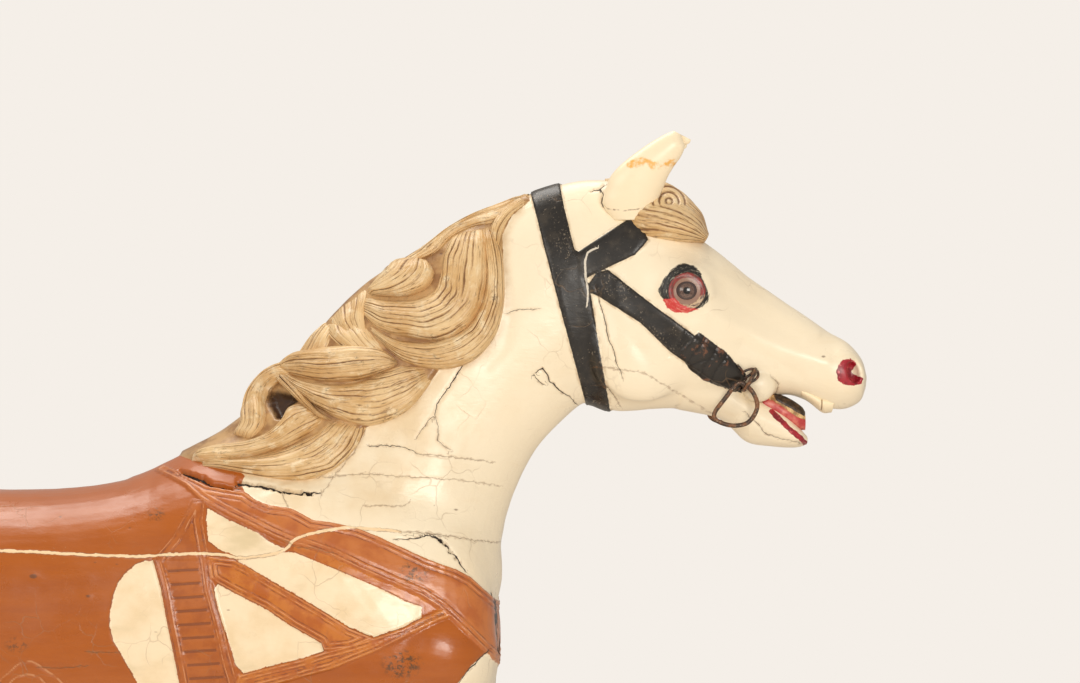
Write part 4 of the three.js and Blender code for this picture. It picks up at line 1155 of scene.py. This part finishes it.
# Each lock of the mane is a ribbon between two carved edges, given in side view from root to tip.
# name: (count of strands, how far it lies above the pad, lifts from root to tip, one edge, the other edge)
LOCKS = {
    "crest_strand": (7, 0, (5, 8, 9, 7, 4),
                     [(488, 1160), (460, 1149), (430, 1135), (400, 1118), (370, 1098), (345, 1081),
                      (328, 1069)],
                     [(472, 1142), (450, 1124), (424, 1119), (399, 1106), (384, 1090), (362, 1080),
                      (336, 1073)]),
    "front_strand": (3, 0, (3, 7, 7, 4),
                     [(484, 1158), (456, 1138), (443, 1118), (447, 1095), (452, 1070)],
                     [(489, 1149), (469, 1133), (458, 1112), (457, 1090), (459, 1068)]),
    "great_lock": (8, 1, (5, 12, 17, 19, 19, 18, 14, 6),
                   [(434, 1122), (438, 1092), (440, 1062), (434, 1032), (418, 1006), (392, 992), (362, 988),
                    (330, 994), (302, 1010)],
                   [(446, 1123), (457, 1095), (461, 1056), (459, 1024), (449, 993), (424, 966), (385, 956),
                    (344, 966), (306, 998)]),
    "swirl": (9, 4, (6, 13, 17, 18, 18, 16, 14, 7),
              [(402, 1112), (392, 1090), (387, 1064), (379, 1046), (356, 1037), (328, 1036), (298, 1040)],
              [(440, 1121), (444, 1090), (443, 1060), (437, 1028), (419, 1003), (388, 989), (345, 993),
               (318, 1001), (297, 1018)]),
    "small_curl": (7, 5, (6, 15, 18, 14, 5),
                   [(358, 1083), (336, 1077), (318, 1062), (302, 1045)],
                   [(372, 1083), (381, 1066), (372, 1049), (346, 1039), (308, 1040)]),
    "crest_fan": (8, 0, (4, 9, 7), [(256, 1011), (262, 1004), (268, 998)],
                  [(312, 1058), (304, 1022), (306, 998)]),
    "low_fan": (8, 1, (4, 10, 6), [(250, 1009), (258, 994), (280, 974)], [(304, 1008), (314, 992), (328, 976)]),
    "edge_fan": (5, 1, (4, 8, 5), [(256, 1012), (238, 994), (221, 972)], [(264, 1003), (262, 988), (256, 974)]),
    "under_leaf": (9, 2, (5, 12, 17, 19, 18, 14, 5),
                   [(204, 957), (226, 945), (255, 940), (285, 941), (312, 949), (340, 961), (372, 960)],
                   [(200, 950), (222, 930), (246, 912), (275, 897), (310, 892), (350, 909), (379, 944)]),
    "upper_leaf": (8, 5, (5, 14, 17, 15, 6),
                   [(200, 956), (222, 973), (250, 981), (285, 985), (318, 981), (340, 965)],
                   [(206, 951), (232, 945), (262, 941), (293, 943), (318, 951), (339, 962)]),
    "hollow_curl": (6, 3, (6, 14, 16, 14, 6),
                    [(216, 968), (197, 958), (180, 941), (168, 922), (161, 904), (157, 891), (146, 880)],
                    [(222, 946), (208, 942), (196, 932), (188, 918), (188, 902), (184, 888), (170, 874)]),
    "cross_band": (4, 5, (5, 10, 10, 5),
                   [(206, 956), (228, 932), (248, 909), (266, 897)],
                   [(196, 946), (212, 931), (230, 914), (250, 898)]),
    "hollow_leaf": (8, 2, (6, 14, 15, 12, 5),
                    [(236, 920), (214, 914), (204, 898), (190, 884), (165, 873), (130, 868), (102, 859)],
                    [(258, 900), (241, 884), (215, 868), (185, 858), (150, 852), (120, 850), (100, 851)]),
    "last_lock": (10, 1, (6, 12, 14, 10, 5),
                  [(262, 900), (243, 884), (216, 869), (186, 859), (150, 853), (112, 852)],
                  [(303, 891), (288, 864), (264, 841), (230, 829), (182, 833), (112, 846)]),
}
FAR_LOCKS = ("crest_strand", "front_strand", "great_lock", "swirl", "under_leaf", "upper_leaf", "hollow_leaf",
             "last_lock")
PAD_LIFT = 5.0


def strands(u, t, count, seed, length):
    """Depth from 0 to 1 of the grooves between strands; u runs across a lock and t along it."""
    place = np.stack([(u * 55).ravel(), (t * length).ravel(), np.full(u.size, 7.0 * seed)], 1)
    sway = 0.8 * unevenness(place, 60, seed).reshape(u.shape) + 0.25 * unevenness(place, 17,
                                                                                  seed + 1).reshape(u.shape)
    phase = u * count + sway
    cell = np.floor(phase)
    across = phase - cell

    def level(number, salt):
        keys = np.stack([number.ravel(), number.ravel() * 0 + salt, number.ravel() * 0], 1).astype(np.int64)
        fade = unevenness(np.stack([(number * 53).ravel(), (t * length).ravel(), np.full(u.size, salt)], 1),
                          38, seed + 5)
        return (0.35 + 0.65 * hashed(keys, seed).reshape(u.shape)) * (0.72 + 0.5 * fade.reshape(u.shape))

    valley = np.exp(-(across / 0.16) ** 2) * level(cell,
                                                   1) + np.exp(-((1 - across) / 0.16) ** 2) * level(cell + 1, 1)
    hair = np.exp(-((across - 0.42) / 0.09) ** 2) * level(cell, 9) * 0.6
    scratches = np.exp(-((phase * 3.1 - np.floor(phase * 3.1) - 0.5) / 0.2) ** 2)
    scratches = scratches * (0.12 + 0.4 * np.clip(unevenness(place, 22, seed + 8).reshape(u.shape), 0, 1))
    return np.clip(np.maximum(np.maximum(valley, hair), scratches), 0, 1)


def softened(field, times=10):
    """A field over a lock's grid, averaged with its neighbours."""
    for again in range(times):
        for axis in (0, 1):
            count = field.shape[axis]
            padded = np.concatenate([field.take([0], axis), field, field.take([-1], axis)], axis)
            field = (padded.take(range(count), axis) + 2 * field + padded.take(range(2, count + 2), axis)) / 4
    return field


def lock_shell(name, side, seed, flank):
    count, rise, lifts, edge_a, edge_b = LOCKS[name]
    length = float(np.sum(np.hypot(*np.diff(np.array(edge_b, float), axis=0).T)))
    across, pace = (64, 2.2) if side == NEAR else (36, 4.5)
    steps = int(length / pace) + 8
    t = np.linspace(0, 1, steps)
    a, b = spline(edge_a, t), spline(edge_b, t)
    lift = spline(np.array(lifts, float)[:, None], t)[:, 0]
    ends = np.sqrt(np.clip(np.minimum(t, 1 - t) / 0.07, 0, 1))

    def layer(u, offset):
        flat = a[:, None, :] * (1 - u[None, :, None]) + b[:, None, :] * u[None, :, None]
        base, facing = flank(flat.reshape(-1, 2))
        base, facing = softened(base.reshape(*flat.shape[:2], 3)), softened(facing.reshape(*flat.shape[:2], 3))
        base[..., [0, 2]] = in_place(flat, -base[..., 1])
        return base + facing * offset[..., None]

    u = (1 - np.cos(np.pi * np.linspace(0, 1, across))) / 2 * 0.35 + np.linspace(0, 1, across) * 0.65
    grid_u, grid_t = np.meshgrid(u, t)
    bulge = (1 - np.abs(2 * grid_u - 1) ** 2.6) ** 0.55 * ends[:, None]
    groove = strands(grid_u, grid_t, count, seed, length)
    broad = 1.1 * np.cos(2 * np.pi * (grid_u * count / 3.3 + 0.13 * seed)) * bulge
    grooved = 2.3 * groove * np.minimum(1, bulge * 1.6)
    offset = -2.0 + (PAD_LIFT + rise + lift[:, None] - 2.0) * bulge + broad - grooved
    top = layer(u, offset)
    under = layer(np.linspace(1, 0, 7), np.full((steps, 7), -6.0))
    rings = np.concatenate([top, under], 1)
    width = np.hypot(*(b - a).T).mean()
    guides = {"groove": groove, "across": grid_u * width + 90.0 * seed, "along": grid_t * length}
    guides = {key: np.concatenate([values, np.zeros((steps, 7))], 1) for key, values in guides.items()}
    rings[..., 1] *= -side
    return rings, guides


def joined(shells):
    """Several closed shells as one set of points, quads, triangles and guides."""
    points, quads, triangles, guides, base = [], [], [], {}, 0
    for rings, given in shells:
        p, q, t = skin(rings)
        q, t = outward(p, q, t)
        points.append(p)
        quads.append(q + base)
        triangles.append(t + base)
        for key, values in given.items():
            guides.setdefault(key, []).append(np.concatenate([values.ravel(),
                                                              [values[0].mean(), values[-1].mean()]]))
        base += len(p)
    return np.vstack(points), np.vstack(quads), np.vstack(triangles), {k: np.concatenate(v) for k,
                                                                       v in guides.items()}


def mane_paint():
    made, n, shader = new_material("mane_paint_aged")
    at = n.object_position()
    groove = n.guide("groove")
    body = n.mix(n.patches(0.35, 0.68, at, 24.0, 5.0), colour(230, 198, 148), colour(208, 166, 108))
    body = n.mix(n.patches(0.52, 0.7, at, 60.0, 5.0), body, colour(238, 214, 172))
    dark = n.mix(n.noise(at, 90.0, 3.0), colour(74, 46, 24), colour(132, 88, 48))
    glaze = n.step(n.plus(groove, n.times(n.minus(n.noise(at, 140.0, 4.0), 0.5), 0.55)),
                   0.26, 0.66)
    base = n.mix(n.times(glaze, 0.9), body, dark)
    wash = n.step(groove, 0.02, 0.5)
    base = n.mix(n.times(wash, 0.3), base, colour(160, 112, 62))
    strand = n.add("ShaderNodeCombineXYZ", {0: n.guide("across"), 1: n.times(n.guide("along"), 0.07)})
    scratch = n.noise(strand.outputs[0], 0.6, 4.0, 0.65)
    base = n.mix(n.times(n.step(scratch, 0.58, 0.66), 0.75), base, colour(112, 76, 42))
    base = n.mix(n.times(n.step(scratch, 0.42, 0.34), 0.5), base, colour(240, 220, 184))
    rub = n.patches(0.54, 0.7, at, 30.0, 5.0, 0.65)
    fine = n.patches(0.5, 0.64, at, 260.0, 3.0, 0.7)
    base = n.mix(n.times(n.times(rub, fine), 0.7), base, colour(92, 64, 40))
    rough = n.plus(0.42, n.times(glaze, 0.2))
    relief = n.minus(use(n, SURFACE, Position=at), n.times(groove, 0.6))
    finish_material(n, shader, base, rough, relief, 0.8, coat=0.1)
    return made


MANE_PAINT = mane_paint()


def mane():
    for side, label, names in ((NEAR, "mane_near_side", tuple(LOCKS)), (FAR, "mane_far_side", FAR_LOCKS)):
        shells = [lock_shell(name, side, 11 + k, NEAR_FLANK) for k, name in enumerate(names)]
        points, quads, triangles, guides = joined(shells)
        piece(label, points, quads, MANE_PAINT, guides, triangles=triangles)


def forelock():
    steps, sides = 150, 160
    rings = profile_form(FORELOCK, sides, steps)
    angle = ring_angles(sides)[None, :] * np.ones((steps + 1, 1))
    t = np.linspace(0, 1, steps + 1)[:, None] * np.ones((1, sides))
    groove = strands((1 + np.sin(angle)) / 2, t, 11, 41, 130.0) ** 0.7
    away = np.hypot(rings[..., 0] - 648, rings[..., 2] - 1148)  # the strands start from a small whorl
    whorl = smooth(27, 19, away) * smooth(1140, 1150, rings[..., 2])
    turns = np.exp(-((away / 7.5 - np.floor(away / 7.5) - 0.5) / 0.17) ** 2)
    groove = groove * (1 - whorl) + 0.95 * turns * whorl
    rings += unit(rings.mean(1, keepdims=True) - rings) * (2.0 * groove)[..., None]
    given = {"groove": groove, "across": angle * 30 + 900, "along": t * 130}
    points, quads, triangles, guides = joined([(rings, given)])
    piece("forelock", points, quads, MANE_PAINT, guides, triangles=triangles)


TAIL = [
    [(-430, 0, 785, 22, 24), (-490, 0, 775, 30, 30), (-528, 0, 700, 38, 36), (-522, 0, 590, 42, 38),
     (-500, 0, 480, 36, 32), (-512, 0, 380, 24, 22), (-540, 0, 310, 7, 7)],
    [(-450, 14, 780, 16, 16), (-506, 20, 740, 22, 20), (-500, 26, 610, 26, 24), (-478, 22, 480, 24, 22),
     (-484, 14, 370, 18, 16), (-506, 6, 270, 6, 6)],
    [(-450, -14, 780, 16, 16), (-510, -20, 750, 22, 20), (-536, -26, 630, 26, 24), (-522, -22, 500, 24, 22),
     (-500, -14, 400, 18, 16), (-496, -6, 300, 6, 6)],
]


def tail():
    shells = []
    for k, rows in enumerate(TAIL):
        rings = leg(rows, 1, 2.0, 84, 130)
        u, t = np.meshgrid(np.arange(84) / 84, np.linspace(0, 1, 131))
        groove = strands(u, t, 13, 61 + k, 500.0)
        rings += unit(rings.mean(1, keepdims=True) - rings) * (2.4 * groove)[..., None]
        shells.append((rings, {"groove": groove, "across": np.abs(u - 0.5) * 250 + 90 * k, "along": t * 500}))
    points, quads, triangles, guides = joined(shells)
    piece("tail", points, quads, MANE_PAINT, guides, triangles=triangles)


# ---------- ears, eyes and mouth ----------

EAR_REAR = [(585, 1128), (574, 1146), (576, 1161), (583, 1179), (599, 1196), (622, 1213), (643, 1226),
            (655, 1231)]
EAR_FRONT = [(628, 1128), (636, 1147), (642, 1162), (649, 1177), (656, 1189), (664, 1201), (668, 1213),
             (664, 1226)]
EAR_Y = [40, 44, 46, 48, 50, 52, 54, 54]
EAR_DEPTH = [13, 14, 15, 15.5, 15, 13, 9, 3]


def ear_paint():
    made, n, shader = new_material("ear_paint_aged")
    at = n.object_position()
    base = n.mix(use(n, GRIME, Position=at, Amount=0.35), colour(250, 232, 198), CREAM_WARM)
    band = use(n, EDGE, Position=at, Distance=n.guide("band"), Raggedness=3.4, Softness=3.0)
    worn = n.patches(0.36, 0.6, at, 130.0, 4.0)
    base = n.mix(n.times(band, worn), base, colour(238, 178, 84))
    base = n.mix(n.step(n.plus(n.guide("foot"), n.times(n.noise(at, 240.0, 3.0), 2.6)), 2.4, 1.0), base,
                 colour(120, 84, 52))
    finish_material(n, shader, base, 0.36, use(n, SURFACE, Position=at), 0.5, coat=0.15)
    return made


def ear(side, label, paint):
    steps, sides = 90, 72
    t = np.linspace(0, 1, steps + 1)
    y = spline(np.array(EAR_Y, float)[:, None], t)[:, 0]
    rear, front = in_place(spline(EAR_REAR, t), y), in_place(spline(EAR_FRONT, t), y)
    depth = spline(np.array(EAR_DEPTH, float)[:, None], t)[:, 0]
    centre, reach = (rear + front) / 2, (front - rear) / 2
    angle = ring_angles(sides)[None, :]
    forward, out = np.cos(angle), np.sin(angle)
    inner_front = np.exp(-((np.mod(angle - math.radians(-52) + np.pi,
                                   2 * np.pi) - np.pi) / math.radians(34)) ** 2)
    hollow = 1 - 0.72 * inner_front * smooth(0.28, 0.5, t)[:, None]
    rim = 17.0 * smooth(0.7, 0.97, t)[:, None] * np.clip(-out, 0, 1) ** 2
    x = centre[:, :1] + reach[:, :1] * forward * hollow + 0.9 * rim
    z = centre[:, 1:] + reach[:, 1:] * forward * hollow - 0.45 * rim
    rings = np.stack([x, side * (y[:, None] + depth[:, None] * out * hollow), z], -1)
    q = as_seen(rings.reshape(-1, 3))
    band = 4.6 - line_distance(q, [(606, 1192), (618, 1196), (632, 1191), (642, 1192), (660, 1194)])
    foot = line_distance(q, [(574, 1146), (580, 1141), (598, 1139), (614, 1141), (628, 1144), (637, 1151),
                             (642, 1162)]) + 0.2
    rings += unit(rings - rings.mean(1, keepdims=True)) * 0.4 * unevenness(rings.reshape(-1, 3), 13,
                                                                           8).reshape(x.shape)[..., None]
    made = shell_piece(label, rings, paint, {"band": band if side == NEAR else band * 0 - 9, "foot": foot})
    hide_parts("ear_right" if side == NEAR else "ear_left")


def eye_glass():
    made, n, shader = new_material("eye_glass_dark")
    away = n.guide("away")
    pupil = n.step(away, 4.6, 3.6)
    iris = n.mix(n.patches(0.4, 0.62, n.object_position(), 500.0, 3.0), colour(112, 88, 76), colour(84, 62, 54))
    base = n.mix(n.step(away, 7.6, 9.0), iris, colour(70, 54, 50))
    base = n.mix(n.step(away, 11.0, 12.4), base, colour(92, 62, 54))
    base = n.mix(pupil, base, colour(16, 14, 15))
    finish_material(n, shader, base, 0.09, coat=0.6)
    return made


def eye(side, label, glass):
    rings = ball((0, 0, 0), (EYE_RADIUS - 0.4,) * 3, 0, 64, 44)
    away = np.hypot(rings[..., 0], rings[..., 2])
    rings = rings + EYE * [1, side, 1]
    made = shell_piece(label, rings, glass, {"away": away})
    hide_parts("eye_right" if side == NEAR else "eye_left")


TONGUE = [(752, 936, 748, 905, 20, 0), (776, 928, 768, 897, 18.5, 0), (800, 914, 793, 889, 16, 0),
          (806, 907, 806, 888, 10, 0)]
UPPER_TEETH = [(800, 938, 801, 925, 24, 0), (812, 934, 813, 917, 26, 0), (824, 930, 826, 907, 26, 0),
               (838, 928, 836, 907, 23, 0)]
BLACK_STRIP = [(766, 935), (776, 928), (791, 922), (803, 916), (809, 908), (804, 903), (790, 911), (772, 921)]
LOWER_GUM = [(758, 925), (768, 921), (784, 911), (794, 903), (803, 900), (812, 896), (812, 884), (800, 882),
             (790, 884), (776, 893), (764, 900), (750, 905)]


def mouth_paint():
    made, n, shader = new_material("mouth_paint_aged")
    at = n.object_position()
    ivory = n.mix(n.patches(0.42, 0.62, at, 160.0, 4.0), colour(226, 190, 134), colour(160, 122, 80))
    base = n.mix(use(n, EDGE, Position=at, Distance=n.guide("gum"), Raggedness=2.0, Softness=0.8), ivory,
                 n.mix(n.patches(0.4, 0.66, at, 110.0, 4.0), colour(190, 62, 62), colour(216, 122, 108)))
    base = n.mix(use(n, EDGE, Position=at, Distance=n.guide("strip"), Raggedness=1.2, Softness=0.7), base,
                 n.mix(n.patches(0.45, 0.62, at, 200.0, 3.0), colour(48, 36, 28), colour(92, 70, 50)))
    finish_material(n, shader, base, 0.42, use(n, SURFACE, Position=at), 0.6, coat=0.1)
    return made


def mouth(paint):
    rings = profile_form(TONGUE, 110, 90)
    points = rings.reshape(-1, 3)
    q = points[:, [0, 2]]
    strip, gum = outline_distance(q, BLACK_STRIP), outline_distance(q, LOWER_GUM)
    teeth = np.exp(-((np.mod(q[:, 0] - q[:, 1] * 0.4, 8.0) - 4.0) / 1.1) ** 2) * (strip < 0) * (gum < 0)
    out = unit(rings - rings.mean(1, keepdims=True)).reshape(-1, 3)
    rings = (points + out * (1.6 * smooth(-0.5, 1.2, strip) + 1.3 * smooth(-0.6, 2.5, gum) - 1.2 * teeth
                             + 0.4 * unevenness(points, 6, 2))[:, None]).reshape(rings.shape)
    shell_piece("tongue_and_lower_teeth", rings, paint, {"strip": strip, "gum": gum})
    rings = profile_form(UPPER_TEETH, 90, 70)
    points = rings.reshape(-1, 3)
    split = np.exp(-((points[:, 0] - 823.5) / 0.9) ** 2) * (np.abs(points[:, 1]) > 12)
    out = unit(rings - rings.mean(1, keepdims=True)).reshape(-1, 3)
    rings = (points - out * (1.3 * split)[:, None]).reshape(rings.shape)
    shell_piece("upper_teeth", rings, HORSE_PAINT_PLAIN, {"gap": split})


def plain_paint():
    made, n, shader = new_material("tooth_paint_aged")
    at = n.object_position()
    base = n.mix(use(n, GRIME, Position=at, Amount=0.8), colour(250, 232, 196), colour(222, 192, 142))
    base = n.mix(n.step(n.guide("gap"), 0.3, 0.9), base, colour(150, 116, 76))
    finish_material(n, shader, base, 0.4, use(n, SURFACE, Position=at), 0.5, coat=0.1)
    return made


# ---------- iron and binding: wires that follow a path ----------

def wire_tree():
    """A round wire along the path it is given, with a hand-forged unevenness."""
    tree = bpy.data.node_groups.new("wire along a path", "GeometryNodeTree")
    face = tree.interface
    face.new_socket(name="Path", in_out="INPUT", socket_type="NodeSocketGeometry")
    for label, value in (("Radius", 0.0026), ("Spacing", 0.0012), ("Unevenness", 0.0003)):
        socket = face.new_socket(name=label, in_out="INPUT", socket_type="NodeSocketFloat")
        socket.default_value = value
    for label, value in (("Sides", 14), ("Seed", 4)):
        socket = face.new_socket(name=label, in_out="INPUT", socket_type="NodeSocketInt")
        socket.default_value = value
    face.new_socket(name="Iron", in_out="INPUT", socket_type="NodeSocketMaterial")
    face.new_socket(name="Wire", in_out="OUTPUT", socket_type="NodeSocketGeometry")
    n = Nodes(tree)
    start, end = n.add("NodeGroupInput").outputs, n.add("NodeGroupOutput")
    line = n.add("GeometryNodeMeshToCurve", {0: start["Path"]}).outputs[0]
    line = n.add("GeometryNodeResampleCurve", {"Curve": line, "Length": start["Spacing"]},
                 mode="LENGTH").outputs[0]
    ring = n.add("GeometryNodeCurvePrimitiveCircle", {"Resolution": start["Sides"], "Radius": start["Radius"]})
    wire = n.add("GeometryNodeCurveToMesh", {"Curve": line, "Profile Curve": ring.outputs[0],
                                             "Fill Caps": True})
    noise = n.add("ShaderNodeTexNoise", {"Scale": 260.0, "Detail": 2.0, "W": start["Seed"]},
                  noise_dimensions="4D")
    centred = n.add("ShaderNodeVectorMath", {0: noise.outputs["Color"], 1: (0.5, 0.5, 0.5)},
                    operation="SUBTRACT")
    moved = n.add("ShaderNodeVectorMath", {0: centred.outputs[0], "Scale": start["Unevenness"]},
                  operation="SCALE")
    rough = n.add("GeometryNodeSetPosition", {"Geometry": wire.outputs[0],
                                              "Offset": moved.outputs[0]}).outputs[0]
    soft = n.add("GeometryNodeSetShadeSmooth", {"Geometry": rough}).outputs[0]
    real = n.add("GeometryNodeRealizeInstances", {0: soft}).outputs[0]
    n.put(n.add("GeometryNodeSetMaterial", {"Geometry": real, "Material": start["Iron"]}).outputs[0],
          end.inputs[0])
    return tree


WIRE = wire_tree()


def wire_piece(name, paths, radius, material, unevenness_mm=0.3, closed=False, seed=4, sides=14):
    """One or more wires as one plain mesh piece; each path is a list of points."""
    points, edges = [], []
    for path in paths:
        base = len(points)
        points += [((x) * 0.001, y * 0.001, (z + SOLE) * 0.001) for x, y, z in path]
        edges += [(base + k, base + k + 1) for k in range(len(path) - 1)]
        if closed:
            edges.append((base + len(path) - 1, base))
    mesh = bpy.data.meshes.new(name + "_path")
    mesh.from_pydata(points, edges, [])
    path_object = bpy.data.objects.new(name + "_path", mesh)
    bpy.context.scene.collection.objects.link(path_object)
    modifier = path_object.modifiers.new("wire", "NODES")
    modifier.node_group = WIRE
    given = {"Radius": radius * 0.001, "Unevenness": unevenness_mm * 0.001, "Seed": seed, "Sides": sides,
             "Iron": material, "Spacing": max(0.0009, radius * 0.0005)}
    for item in WIRE.interface.items_tree:
        if item.item_type == "SOCKET" and item.in_out == "INPUT" and item.name in given:
            modifier[item.identifier] = given[item.name]
    plain = bpy.data.meshes.new_from_object(path_object.evaluated_get(bpy.context.evaluated_depsgraph_get()))
    plain.name = name
    bpy.data.objects.remove(path_object)
    made = bpy.data.objects.new(name, plain)
    bpy.context.scene.collection.objects.link(made)
    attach(made, "root")
    return made


RING_SIDE = 56  # how far the bit rings hang from the middle plane
RING_PATH = [(728, 940), (714, 923), (702, 906), (706, 897), (724, 892), (741, 896), (751, 912), (748, 927),
             (738, 938.5)]
STAPLE_PATH = [(746, 22, 957), (746, 48, 957), (745, 59, 954), (741, 64, 947), (736, 62, 938), (733, 54, 934),
               (733, 22, 934)]


def rusty_iron():
    made, n, shader = new_material("rusty_iron")
    at = n.object_position()
    rust = n.patches(0.42, 0.6, at, 150.0, 5.0, 0.65)
    base = n.mix(rust, colour(74, 60, 52), colour(140, 98, 70))
    base = n.mix(n.patches(0.58, 0.7, at, 380.0, 3.0), base, colour(196, 170, 140))
    rough = n.plus(0.38, n.times(rust, 0.3))
    finish_material(n, shader, base, rough, n.noise(at, 500.0, 3.0), 0.5, metal=0.45, mm=0.0006)
    return made


def tarred_cord():
    made, n, shader = new_material("tarred_cord")
    at = n.object_position()
    base = n.mix(n.patches(0.45, 0.62, at, 170.0, 4.0), colour(44, 34, 30), colour(104, 66, 44))
    base = n.mix(n.patches(0.6, 0.7, at, 420.0, 3.0), base, colour(206, 176, 138))
    finish_material(n, shader, base, 0.5, n.noise(at, 900.0, 2.0), 0.5, coat=0.1, mm=0.0005)
    return made


def smooth_path(rows, steps):
    return spline(np.array(rows, float), np.linspace(0, 1, steps))


def bit_iron(iron):
    for side, hand in ((NEAR, "right"), (FAR, "left")):
        closed = np.array(RING_PATH + RING_PATH[:3], float)
        count = len(RING_PATH)
        path = spline(closed, (1 + count * np.arange(90) / 90) / (len(closed) - 1))
        path = in_place(path, np.full(len(path), float(RING_SIDE)))
        ring = wire_piece(f"bit_ring_{hand}_iron", [[(x, side * RING_SIDE, z) for x, z in path]], 2.6, iron,
                          0.5, closed=True, seed=3 + side)
        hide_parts(f"bit_ring_{hand}")
        staple = smooth_path([(x, side * y, z) for x, y, z in STAPLE_PATH], 60)
        staple = wire_piece(f"bit_staple_{hand}_iron", [staple], 2.4, iron, 0.5, seed=8 + side)
        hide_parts(f"bit_staple_{hand}")


def binding(cord):
    """Turns of tarred cord bound over the end of the cheek strap, lying on its rounded face, and its knot."""
    turns = []
    for share, lean, wide in ((0.0, 0.05, 15), (0.55, 0.1, 13.5), (0.68, -0.05, 13), (0.8, 0.12, 12),
                              (0.92, -0.1, 11),
                              (1.02, 0.2, 10)):
        x, z = 696 + 36 * share, 962 - 22 * share
        across = unit(np.array([0.5 + lean, 0.866]))
        row = []
        for u in np.linspace(-1, 1, 15):
            at = np.array([x, z]) + across * wide * u
            base, facing = NEAR_FLANK(at[None])
            row.append(base[0] + facing[0] * (3.6 - 4.4 * abs(u) ** 4))
        turns.append(row)
    for loop in ([(722, 938), (730, 950), (741, 957), (750, 956), (752, 948), (744, 941)],
                 [(716, 950), (727, 946), (738, 948), (748, 955)],
                 [(728, 962), (734, 954), (733, 944), (728, 936)]):
        row = []
        for x, z in fine_line(loop, 6):
            base, facing = NEAR_FLANK(np.array([[x, z]]))
            row.append(base[0] + facing[0] * 2.6)
        turns.append(row)
    wire_piece("strap_binding", turns, 1.45, cord, 0.9, seed=12)


mane()
forelock()
tail()
EAR_PAINT, EYE_GLASS, HORSE_PAINT_PLAIN = ear_paint(), eye_glass(), plain_paint()
for side, hand in ((NEAR, "right"), (FAR, "left")):
    ear(side, f"ear_{hand}_carved", EAR_PAINT)
    eye(side, f"eye_{hand}_glass", EYE_GLASS)
mouth(mouth_paint())
bit_iron(rusty_iron())
binding(tarred_cord())

# ---------- room, light and camera ----------

LAMPS = [  # name, place, aim, width, depth, power
    ("key_softbox", (1.3, -2.6, 1.45), (0.3, 0.0, 0.9), 1.0, 0.8, 31),
    ("fill_softbox", (-1.6, -2.6, 1.8), (0.2, 0.0, 0.9), 1.6, 1.4, 24),
    ("top_softbox", (-0.1, 0.5, 3.0), (0.0, 0.0, 0.9), 1.8, 1.2, 32),
]


def room():
    world = bpy.data.worlds.new("pale room")
    bpy.context.scene.world = world
    world.use_nodes = True
    n = Nodes(world.node_tree)
    n.tree.nodes.clear()
    seen = n.add("ShaderNodeLightPath").outputs["Is Camera Ray"]
    shown = n.add("ShaderNodeBackground", {"Color": colour(245, 239, 232), "Strength": 1.0})
    lit = n.add("ShaderNodeBackground", {"Color": colour(255, 248, 240), "Strength": 0.47})
    mixed = n.add("ShaderNodeMixShader", {0: seen, 1: lit.outputs[0], 2: shown.outputs[0]})
    n.tree.links.new(mixed.outputs[0], n.add("ShaderNodeOutputWorld").inputs[0])

    def softbox(name, place, aim, width, depth, power, tint=(1.0, 0.96, 0.9)):
        data = bpy.data.lights.new(name, "AREA")
        data.shape, data.size, data.size_y = "RECTANGLE", width, depth
        data.energy, data.color = power, tint
        lamp = bpy.data.objects.new(name, data)
        lamp.location = place
        lamp.rotation_euler = (Vector(aim) - Vector(place)).to_track_quat("-Z", "Y").to_euler()
        bpy.context.scene.collection.objects.link(lamp)

    for lamp in LAMPS:
        softbox(*lamp)


def floor_disc():
    sides, rings = 96, [0.0, 1.0, 2.0, 3.4, 4.6]
    points, faces = [(0.0, 0.0, -0.001)], []
    for radius in rings[1:]:
        for k in range(sides):
            a = 2 * math.pi * k / sides
            points.append((radius * math.cos(a), radius * math.sin(a), -0.001))
    for k in range(sides):
        faces.append((0, 1 + k, 1 + (k + 1) % sides))
        for r in range(len(rings) - 2):
            a, b = 1 + r * sides + k, 1 + r * sides + (k + 1) % sides
            faces.append((a, a + sides, b + sides, b))
    mesh = bpy.data.meshes.new("floor")
    mesh.from_pydata(points, [], faces)
    made, n, shader = new_material("floor_paint")
    base = n.mix(n.noise(n.object_position(), 3.0, 4.0), colour(238, 232, 224), colour(230, 223, 214))
    finish_material(n, shader, base, 0.7)
    mesh.materials.append(made)
    floor = bpy.data.objects.new("floor", mesh)
    bpy.context.scene.collection.objects.link(floor)


def camera():
    data = bpy.data.cameras.new("view")
    data.sensor_width, data.lens = 36.0, 116.0
    eye_point = bpy.data.objects.new("view", data)
    eye_point.location = (VIEWER[0] * 0.001, -VIEWER_DISTANCE * 0.001, (VIEWER[1] + SOLE) * 0.001)
    eye_point.rotation_euler = (math.pi / 2, 0, 0)
    bpy.context.scene.collection.objects.link(eye_point)
    bpy.context.scene.camera = eye_point


room()
floor_disc()
camera()
bpy.context.scene.view_settings.view_transform = "Standard"
